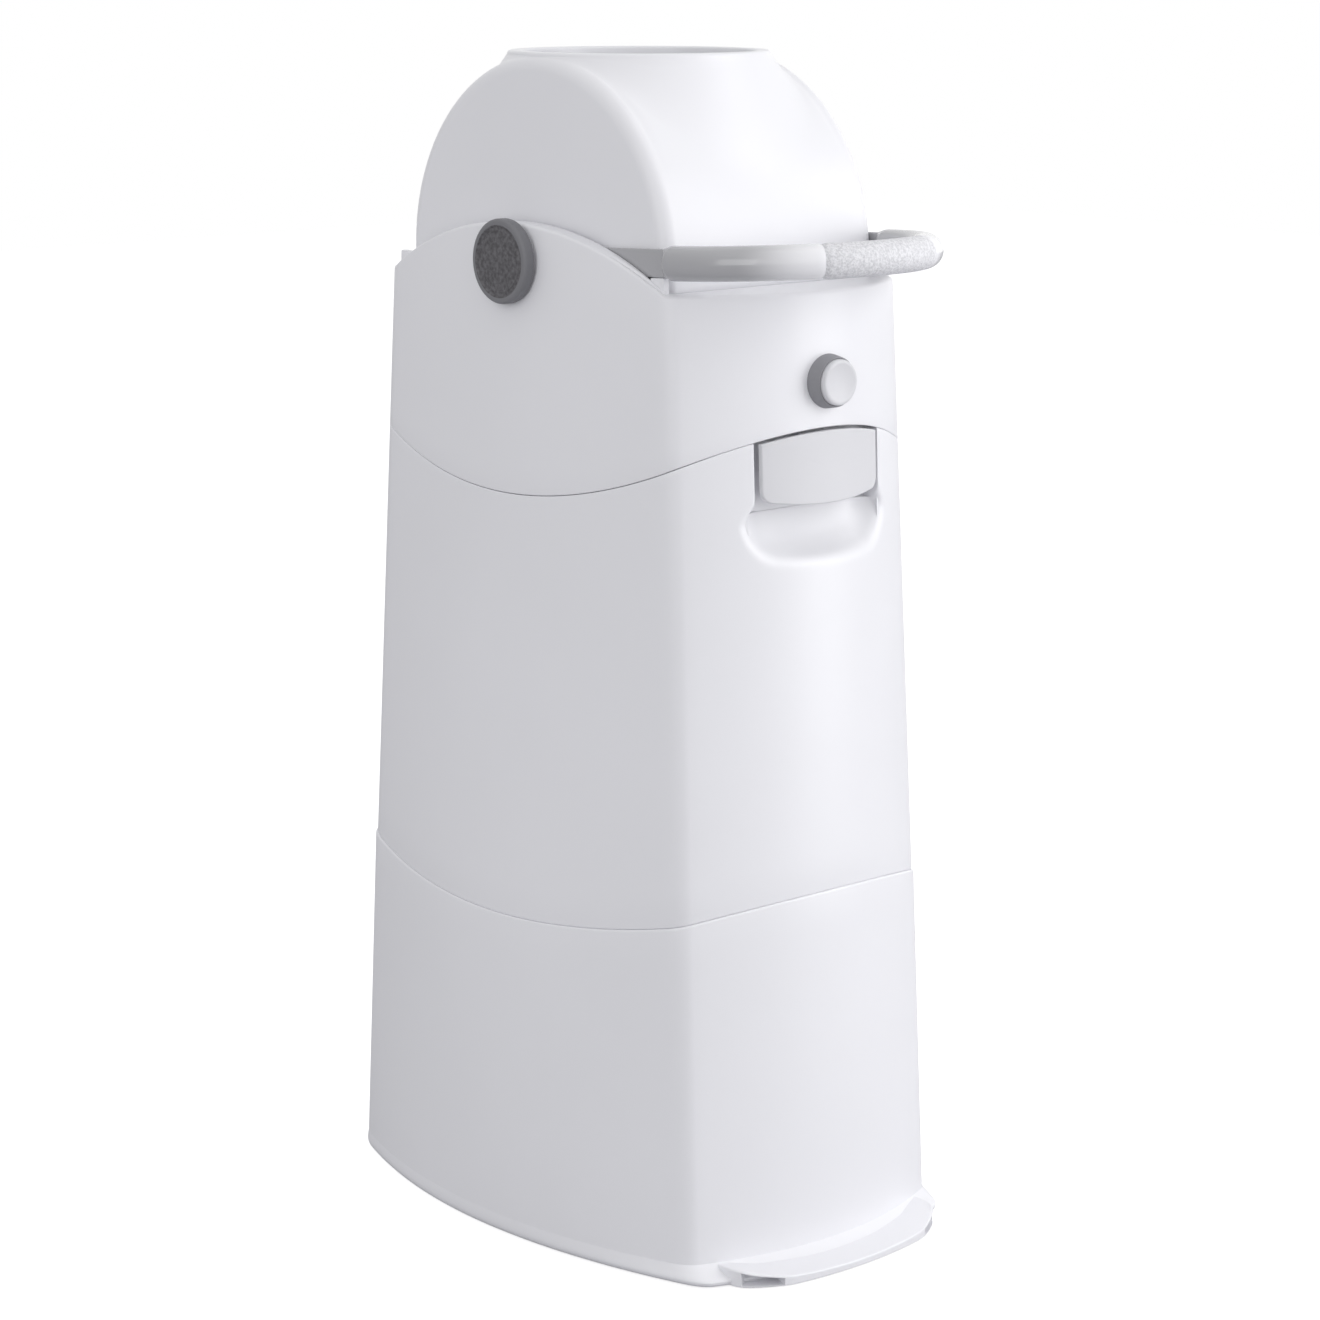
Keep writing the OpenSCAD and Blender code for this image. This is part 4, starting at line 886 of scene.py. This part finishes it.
def flap():
    """Curved panel with rounded edges, two lugs and a hook."""
    solid = Solid()

    def low_edge(x):
        d = max(0.0, abs(x) - FLAP_HALF + FLAP_CORNER)
        drop = math.sqrt(max(0.0, FLAP_CORNER ** 2 - d * d))
        return FLAP_LOW + FLAP_BOW * (x / FLAP_HALF) ** 2 + FLAP_CORNER - drop

    def high_edge(x):
        return UP_SEAM + UP_RISE * (1 - (x / half_w(UP_SEAM)) ** 2) - FLAP_GAP

    steps = 56
    xs = [FLAP_HALF * math.sin(math.pi * (i / steps - 0.5)) for i in range(steps + 1)]
    border = [(x, low_edge(x)) for x in xs]
    y0, y1 = low_edge(FLAP_HALF), high_edge(FLAP_HALF)
    border += [(FLAP_HALF, mix(y0, y1, i / 12)) for i in range(1, 12)]
    border += [(x, high_edge(x)) for x in reversed(xs)]
    border += [(-FLAP_HALF, mix(y1, y0, i / 12)) for i in range(1, 12)]
    border = np.array(border)
    normal = outward(border)
    centre = np.array([0.0, FLAP_MIDDLE])

    def skin(p, depth):
        return np.column_stack([p[:, 0], -wall_y(p[:, 0], p[:, 1]) - FLAP_PROUD + depth, p[:, 1]])

    rows = []
    for f in (0.05, 0.3, 0.6, 0.85, 0.97):
        rows.append(skin(mix(centre, border - normal * 0.5, f), FLAP_T))
    rows += [skin(border - normal * 0.5, FLAP_T), skin(border, FLAP_T - 0.5)]
    rows += [skin(border - normal * in_, FLAP_EDGE - up_) for in_, up_ in arc(FLAP_EDGE, 5)]
    for f in (0.985, 0.93, 0.85, 0.7, 0.5, 0.3, 0.05):
        rows.append(skin(mix(centre, border - normal * FLAP_EDGE, f), 0.0))
    solid.rings(rows, low=True, high=True)
    r = FLAP_LUG_R
    lug = [(r - 0.6, 0), (r - 0.2, 0.15), (r, 0.5), (r, 4.5), (r - 0.2, 4.85), (r - 0.6, 5)]
    for sx in (-1, 1):
        x0, x1 = sorted((sx * FLAP_LUG_IN, sx * FLAP_LUG_OUT))
        front_y = 1 - wall_y(FLAP_LUG_IN, LATCH_Z)
        solid.block((x0, front_y, LATCH_Z - r), (x1, LATCH_Y, LATCH_Z + r), 0.3)
        solid.lathe(lug, along("x", (x0, LATCH_Y, LATCH_Z)), 40)
    hook = HOOK_HALF
    for y, z0, z1 in ((HOOK_FRONT, HOOK_LOW, HOOK_LOW + 3), (HOOK_BACK - 2.5, HOOK_LOW, HOOK_TOP),
                      (HOOK_BACK - 4, HOOK_TOP - 2.5, HOOK_TOP)):
        solid.block((-hook, y, z0), (hook, HOOK_BACK, z1), 0.4)
    return solid.build("flap", "latch", "pale_grey", ["latch_flap"])


def button():
    """Button with a dished face, and its stem."""
    solid = Solid()
    at = along("y", (0, BUTTON_Y - BUTTON_OUT, BUTTON_Z))
    r = BUTTON_R
    profile = []
    for i in range(9):
        q = 0.4 + (r - 2.6) * i / 8
        profile.append((q, 1.7 - 1.7 * (q / (r - 2.2)) ** 2))
    profile += [(r - 2.2, 0.04), (r - 1.8, 0.0), (r - 1.2, 0.06), (r - 0.6, 0.35), (r - 0.2, 0.85)]
    profile += [(r, 1.5), (r, 17.0), (r - 0.6, 17.6)]
    solid.lathe(profile, at, 96)
    stem = [(3.6, 0), (4, 0.4), (4, 13.2), (3.6, 13.6)]
    solid.lathe(stem, along("y", (0, BUTTON_Y + 7.4, BUTTON_Z)), 40)
    return solid.build("button_face", "button", "pale_grey", ["push_button"])


def button_ring():
    """Conical ring around the button and the cup behind it, down to the bore of the stem."""
    solid = Solid()
    at = along("y", (0, BUTTON_Y - RING_OUT, BUTTON_Z))
    profile = [(13.4, 0.6), (13.6, 0.2), (13.8, 0.0), (14.1, 0.05), (14.4, 0.35), (14.6, 1.0),
               (14.9, 2.6), (15.3, 4.8), (15.6, 6.4), (15.75, 7.6), (15.8, 9.8), (14.9, 9.9),
               (14.9, 24.4), (14.6, 24.6), (4.2, 24.6), (4.1, 22.8), (13.36, 22.6), (13.4, 0.6)]
    solid.lathe(profile, at, 96)
    return solid.build("button_ring", "hood", "mid_grey", ["button_housing"])


plinth()
tub()
sleeve()
hood()
dome()
handle_arm(-1, "arm_left", "handle_arm_left")
handle_arm(1, "arm_right", "handle_arm_right")
grip()
hub_cap(-1, "cap_left", "hub_cap_left")
hub_cap(1, "cap_right", "hub_cap_right")
flap()
button()
button_ring()

# CAD nodes that still show get the finish of their slot
for part in frame["record"]["subparts"]:
    obj = frame["nodes"][part["node"]]
    obj.data.materials.clear()
    obj.data.materials.append(MATERIAL[part["material_slot"]])


# Floor (side and camera glow), and the light around: its strength, and the direction of the dark
# side in reflections
FLOOR_SIDE, FLOOR_COLOR, FLOOR_GLOW = 6.0, (0.50, 0.50, 0.52, 1), 0.80
AROUND = 0.69
DARK_SIDE = (-0.66, 0.75, 0.0)


def floor():
    """Floor that the camera sees near white, and that throws less light back at the object."""
    mesh = bpy.data.meshes.new("floor")
    side = FLOOR_SIDE
    corners = [(-side, -side, 0), (side, -side, 0), (side, side, 0), (-side, side, 0)]
    mesh.from_pydata(corners, [], [(0, 1, 2, 3)])
    obj = bpy.data.objects.new("floor", mesh)
    bpy.context.scene.collection.objects.link(obj)
    mat, nodes, links, shader = node_material("floor")
    shader.inputs["Base Color"].default_value = FLOOR_COLOR
    shader.inputs["Roughness"].default_value = 0.9
    shader.inputs["Specular IOR Level"].default_value = 0.0
    seen = nodes.new("ShaderNodeEmission")
    path = nodes.new("ShaderNodeLightPath")
    glow = span(nodes, links, path.outputs["Is Camera Ray"], 0, FLOOR_GLOW, 0, 1)
    links.new(glow, seen.inputs["Strength"])
    both = nodes.new("ShaderNodeAddShader")
    links.new(shader.outputs["BSDF"], both.inputs[0])
    links.new(seen.outputs["Emission"], both.inputs[1])
    links.new(both.outputs["Shader"], nodes["Material Output"].inputs["Surface"])
    mesh.materials.append(mat)


def lamp(name, place, aim, size, watts):
    """Rectangular lamp that the camera doesn't see."""
    data = bpy.data.lights.new(name, "AREA")
    data.shape = "RECTANGLE"
    data.size, data.size_y = size
    data.energy = watts
    obj = bpy.data.objects.new(name, data)
    obj.location = place
    obj.rotation_euler = (Vector(aim) - Vector(place)).to_track_quat("-Z", "Y").to_euler()
    obj.visible_camera = False
    bpy.context.scene.collection.objects.link(obj)


def world():
    """White for the camera, plain light for the rest, and one dark side in reflections."""
    w = bpy.data.worlds.new("studio")
    bpy.context.scene.world = w
    w.use_nodes = True
    nodes, links = w.node_tree.nodes, w.node_tree.links
    back = nodes["Background"]
    path = nodes.new("ShaderNodeLightPath")
    glossy = nodes.new("ShaderNodeMath")
    glossy.operation = "MAXIMUM"
    links.new(path.outputs["Is Glossy Ray"], glossy.inputs[0])
    links.new(path.outputs["Is Transmission Ray"], glossy.inputs[1])
    back.inputs["Color"].default_value = (1, 1, 1, 1)
    toward = nodes.new("ShaderNodeVectorMath")
    toward.operation = "DOT_PRODUCT"
    toward.inputs[1].default_value = DARK_SIDE
    links.new(nodes.new("ShaderNodeTexCoord").outputs["Generated"], toward.inputs[0])
    shade = nodes.new("ShaderNodeMix")
    shade.inputs["A"].default_value = AROUND
    links.new(glossy.outputs["Value"], shade.inputs["Factor"])
    links.new(span(nodes, links, toward.outputs["Value"], 1.0, 0.3, 0.35, 0.85), shade.inputs["B"])
    white = nodes.new("ShaderNodeMath")
    white.operation = "MAXIMUM"
    links.new(shade.outputs["Result"], white.inputs[0])
    links.new(path.outputs["Is Camera Ray"], white.inputs[1])
    links.new(white.outputs["Value"], back.inputs["Strength"])


floor()
world()
lamp("key", (0.85, -1.25, 0.75), (0, 0, 0.45), (0.9, 1.6), 13.5)
lamp("top", (0.2, -0.6, 2.6), (0, 0, 0.5), (1.4, 1.4), 2)
lamp("side", (-2.6, -0.9, 1.2), (0, 0, 0.4), (1.4, 1.8), 13)

scene = bpy.context.scene
scene.view_settings.view_transform = "Standard"

# Camera, fitted to the outlines in the photograph
EYE = (-1.35311, -1.54031, 0.77539)
AHEAD = Vector((0.645435, 0.734728, -0.208779))
RIGHT = Vector((0.75126, -0.66001, 0.0))
UP = Vector((0.13780, 0.15685, 0.97797))
cam_data = bpy.data.cameras.new("camera")
cam_data.lens = 91.92
cam_data.sensor_width = 36.0
cam_data.shift_x = 0.01588
cam = bpy.data.objects.new("camera", cam_data)
cam.matrix_world = Matrix.Translation(EYE) @ Matrix((RIGHT, UP, -AHEAD)).transposed().to_4x4()
scene.collection.objects.link(cam)
scene.camera = cam
